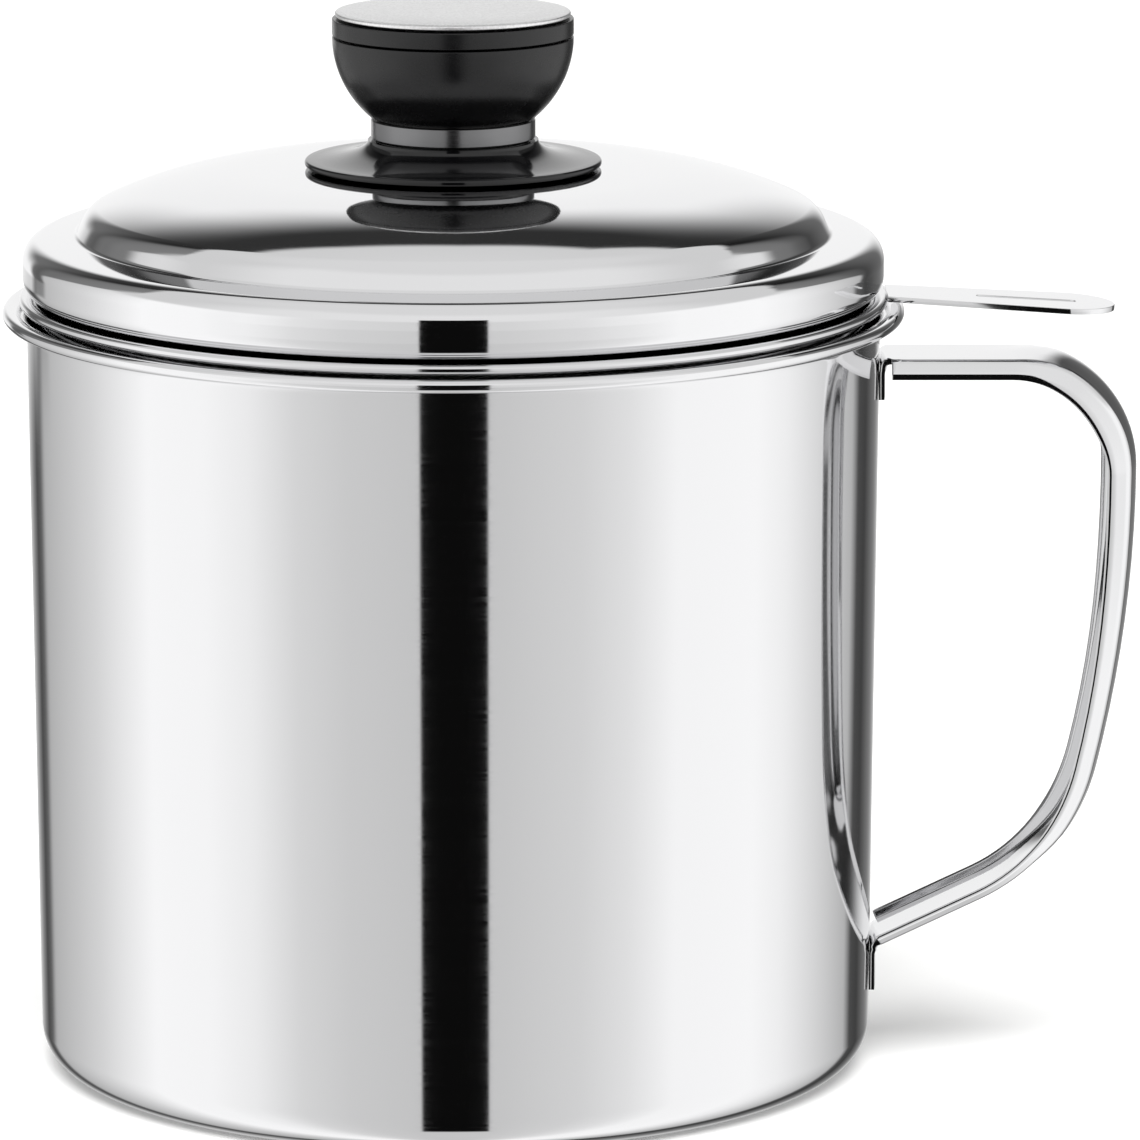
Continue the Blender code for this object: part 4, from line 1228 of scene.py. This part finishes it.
def strip_coordinates(tree, spacing):
    """Coordinates whose noise runs along a strip that is bent in the XZ plane."""
    place = add_node(tree, "ShaderNodeTexCoord").outputs["Object"]
    scale = 1 / (spacing * MM)
    return add_node(
        tree, "ShaderNodeMapping", inputs={"Vector": place, "Scale": (scale / 60, scale, scale / 60)}
    ).outputs[0]


print("grain runs in rings, or along a strip")

# %% Grained metal
def grained_metal(name, colour, roughness, spread, spacing, depth, coordinates):
    """A metal whose grain varies its roughness by a spread and dents it, in millimetres."""
    material = bpy.data.materials.new(name)
    material.use_nodes = True
    tree = material.node_tree
    shader = tree.nodes["Principled BSDF"]
    shader.inputs["Metallic"].default_value = 1.0
    shader.inputs["Base Color"].default_value = linear(colour)
    lines = add_node(
        tree,
        "ShaderNodeTexNoise",
        inputs={"Vector": coordinates(tree, spacing), "Scale": 1.0, "Detail": 3.0},
    )
    rough = add_node(
        tree, "ShaderNodeMapRange",
        inputs={"Value": lines.outputs["Fac"], "From Min": 0.3, "From Max": 0.7,
                "To Min": roughness - spread, "To Max": roughness + spread},
    )
    tree.links.new(rough.outputs["Result"], shader.inputs["Roughness"])
    dent = add_node(
        tree, "ShaderNodeBump",
        inputs={"Height": lines.outputs["Fac"], "Distance": depth * MM, "Strength": 1.0},
    )
    tree.links.new(dent.outputs["Normal"], shader.inputs["Normal"])
    return material


print("grained metal ready")

# %% Steel and brass finishes
# Spun and buffed wall: the tent shows almost sharp, and each of its edges is softened by a hair.
mirror_steel = grained_metal(
    "stainless_spun_mirror_polish", "#E9E9EA", 0.055, 0.02, 0.25, 0.00006, ring_coordinates
)
# Pressed lid, buffed the longest: the clearest mirror of all, with crisp lines in its bends.
lid_steel = grained_metal(
    "stainless_pressed_mirror_polish", "#EBEBEC", 0.045, 0.015, 0.3, 0.00005, ring_coordinates
)
# Drawn inside, left satin: a soft grey that blurs what it mirrors into bands round the axis.
satin_steel = grained_metal(
    "stainless_drawn_satin", "#D6D6D6", 0.22, 0.06, 0.15, 0.0015, ring_coordinates
)
# Rolled sheet of the strainer, lightly polished: its lights are a little duller than the pot's.
strainer_steel = grained_metal(
    "stainless_rolled_polish", "#E4E4E5", 0.09, 0.03, 0.25, 0.0002, ring_coordinates
)
# Strip, buffed along its length: bright, with a faint drag of the light along the handle.
strip_steel = grained_metal(
    "stainless_strip_buffed", "#E9E9EA", 0.07, 0.025, 0.2, 0.0001, strip_coordinates
)
# Sheet as it leaves the mill: an even, matt grey against which the punched holes stand out.
punched_steel = grained_metal(
    "stainless_sheet_mill_finish", "#CFCFCF", 0.28, 0.06, 0.12, 0.0012, strip_coordinates
)
# Plated with black nickel: a darker metal that parts the black foot from the black bowl.
collar_steel = grained_metal(
    "steel_black_nickel_plated", "#7E7E7F", 0.20, 0.05, 0.15, 0.0008, ring_coordinates
)
# Plated with zinc: a cool, slightly blue grey, as on any machine screw.
zinc_steel = grained_metal(
    "steel_zinc_plated", "#C9CCCE", 0.30, 0.08, 0.12, 0.001, ring_coordinates
)
# Turned brass: yellow, with fine tool rings that catch the light.
turned_brass = grained_metal("brass_turned", "#D8B25A", 0.25, 0.06, 0.1, 0.001, ring_coordinates)
print("materials so far:", len(bpy.data.materials))

# %% [markdown]
# The disc on the knob is blasted with beads, not buffed: tiny dents in all directions turn the
# mirror into a soft, even grey with a fine sparkle. The beads' dents are about 0.1 mm wide, too
# fine to show, so they are drawn 0.35 mm wide.

# %% Blasted disc
DENT_WIDTH = 0.35
blasted = bpy.data.materials.new("steel_bead_blasted")
blasted.use_nodes = True
tree = blasted.node_tree
shader = tree.nodes["Principled BSDF"]
shader.inputs["Metallic"].default_value = 1.0
shader.inputs["Roughness"].default_value = 0.38
place = add_node(tree, "ShaderNodeTexCoord").outputs["Object"]
dents = add_node(
    tree, "ShaderNodeTexNoise", inputs={"Vector": place, "Scale": 1 / (DENT_WIDTH * MM), "Detail": 4.0}
)
tint = add_node(tree, "ShaderNodeValToRGB", inputs={0: dents.outputs["Fac"]})
set_stops(tint, [(0.3, linear("#E7E7E7")[0]), (0.7, linear("#FDFDFD")[0])])
tree.links.new(tint.outputs[0], shader.inputs["Base Color"])
bumps = add_node(
    tree,
    "ShaderNodeBump",
    inputs={"Height": dents.outputs["Fac"], "Distance": 0.02 * MM, "Strength": 0.8},
)
tree.links.new(bumps.outputs["Normal"], shader.inputs["Normal"])
print("dents on the disc are drawn", DENT_WIDTH, "mm wide")

# %% [markdown]
# Phenolic comes out of its mould nearly black, with a faint unevenness where the powder flowed,
# in patches of about 1.6 mm. The bowl and its ring are left as moulded, so their highlights
# have soft edges. The foot is polished: it mirrors the black bowl above it, and only its lip
# and its far sides show light.

# %% Black phenolic
FLOW_WIDTH = 1.6


def moulded_black(name, smoothest, roughest):
    """Black phenolic whose flow marks vary its roughness between two values."""
    material = bpy.data.materials.new(name)
    material.use_nodes = True
    tree = material.node_tree
    shader = tree.nodes["Principled BSDF"]
    shader.inputs["Base Color"].default_value = linear("#060607")
    shader.inputs["IOR"].default_value = 1.5
    place = add_node(tree, "ShaderNodeTexCoord").outputs["Object"]
    flow = add_node(
        tree,
        "ShaderNodeTexNoise",
        inputs={"Vector": place, "Scale": 1 / (FLOW_WIDTH * MM), "Detail": 3.0},
    )
    gloss = add_node(
        tree, "ShaderNodeMapRange",
        inputs={"Value": flow.outputs["Fac"], "From Min": 0.3, "From Max": 0.7,
                "To Min": smoothest, "To Max": roughest},
    )
    tree.links.new(gloss.outputs["Result"], shader.inputs["Roughness"])
    skin = add_node(
        tree,
        "ShaderNodeBump",
        inputs={"Height": flow.outputs["Fac"], "Distance": 0.004 * MM, "Strength": 0.5},
    )
    tree.links.new(skin.outputs["Normal"], shader.inputs["Normal"])
    return material


# As moulded: a silky black, whose highlights fade out softly.
moulded_phenolic = moulded_black("phenolic_moulded_black", 0.23, 0.29)
# Polished after moulding: a deep black that shows its surroundings.
polished_phenolic = moulded_black("phenolic_polished_black", 0.07, 0.12)
print("phenolic flow marks", FLOW_WIDTH, "mm")

# %% [markdown]
# ## Dressing the pieces
# Each piece gets its material, rides on the body that it moves with, and stands for the
# faceted node in its place.

# %% Materials and bodies
def dress(piece, body, slot_name, material, *nodes):
    """Give a piece its material, its body and the node that it stands for."""
    piece.data.materials.clear()
    piece.data.materials.append(material)
    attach(piece, body)
    if nodes:
        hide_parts(*nodes)


dress(pot_cup, "pot", "pot_steel", mirror_steel, "pot_body")
dress(strap, "pot", "strap_steel", strip_steel, "pot_handle")
dress(strainer_cup, "strainer", "strainer_steel", strainer_steel, "strainer_bowl")
dress(punched_floor, "strainer", "screen_steel", punched_steel, "strainer_screen")
dress(tongue, "strainer", "strainer_steel", strip_steel, "strainer_tab")
dress(lid_pressing, "lid", "lid_steel", lid_steel, "lid_shell")
dress(knob_foot, "lid", "black_phenolic", polished_phenolic, "knob_flange")
dress(knob_collar_ring, "lid", "collar_steel", collar_steel, "knob_collar")
dress(knob_bowl, "lid", "black_phenolic", moulded_phenolic, "knob_grip")
dress(knob_rim, "lid", "black_phenolic", moulded_phenolic, "knob_top_ring")
dress(knob_disc, "lid", "cap_steel", blasted, "knob_cap")
dress(brass_bush, "lid", "insert_brass", turned_brass, "knob_insert")
dress(steel_screw, "lid", "fastener_steel", zinc_steel, "lid_screw")
dress(thread, "lid", "fastener_steel", zinc_steel)
dress(plain_washer, "lid", "fastener_steel", zinc_steel, "flat_washer")
dress(split_washer, "lid", "fastener_steel", zinc_steel, "spring_washer")


# %% [markdown]
# Only the outside of the pot and the strainer is polished. Their inner faces, which look
# towards the axis, and their level floors get the satin steel as a second material. The rolled
# rims stay polished all round.

# %% Satin insides
ROLL_FOOT = 104
FLOORS_BELOW = 85


def finish_inside(piece, material):
    """Give the inner faces and the level floors under the rolled rim another finish."""
    make_active(piece)
    piece.data.materials.append(material)
    count = 0
    for face in piece.data.polygons:
        inward = face.normal.x * face.center.x + face.normal.y * face.center.y < 0
        level = abs(face.normal.z) > 0.99 and face.center.z < FLOORS_BELOW * MM
        if (inward or level) and face.center.z < ROLL_FOOT * MM:
            face.material_index = 1
            count += 1
    print(piece.name, "has", count, "satin faces")


finish_inside(pot_cup, satin_steel)
finish_inside(strainer_cup, satin_steel)

# %% Finish
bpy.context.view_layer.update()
clear_selection()
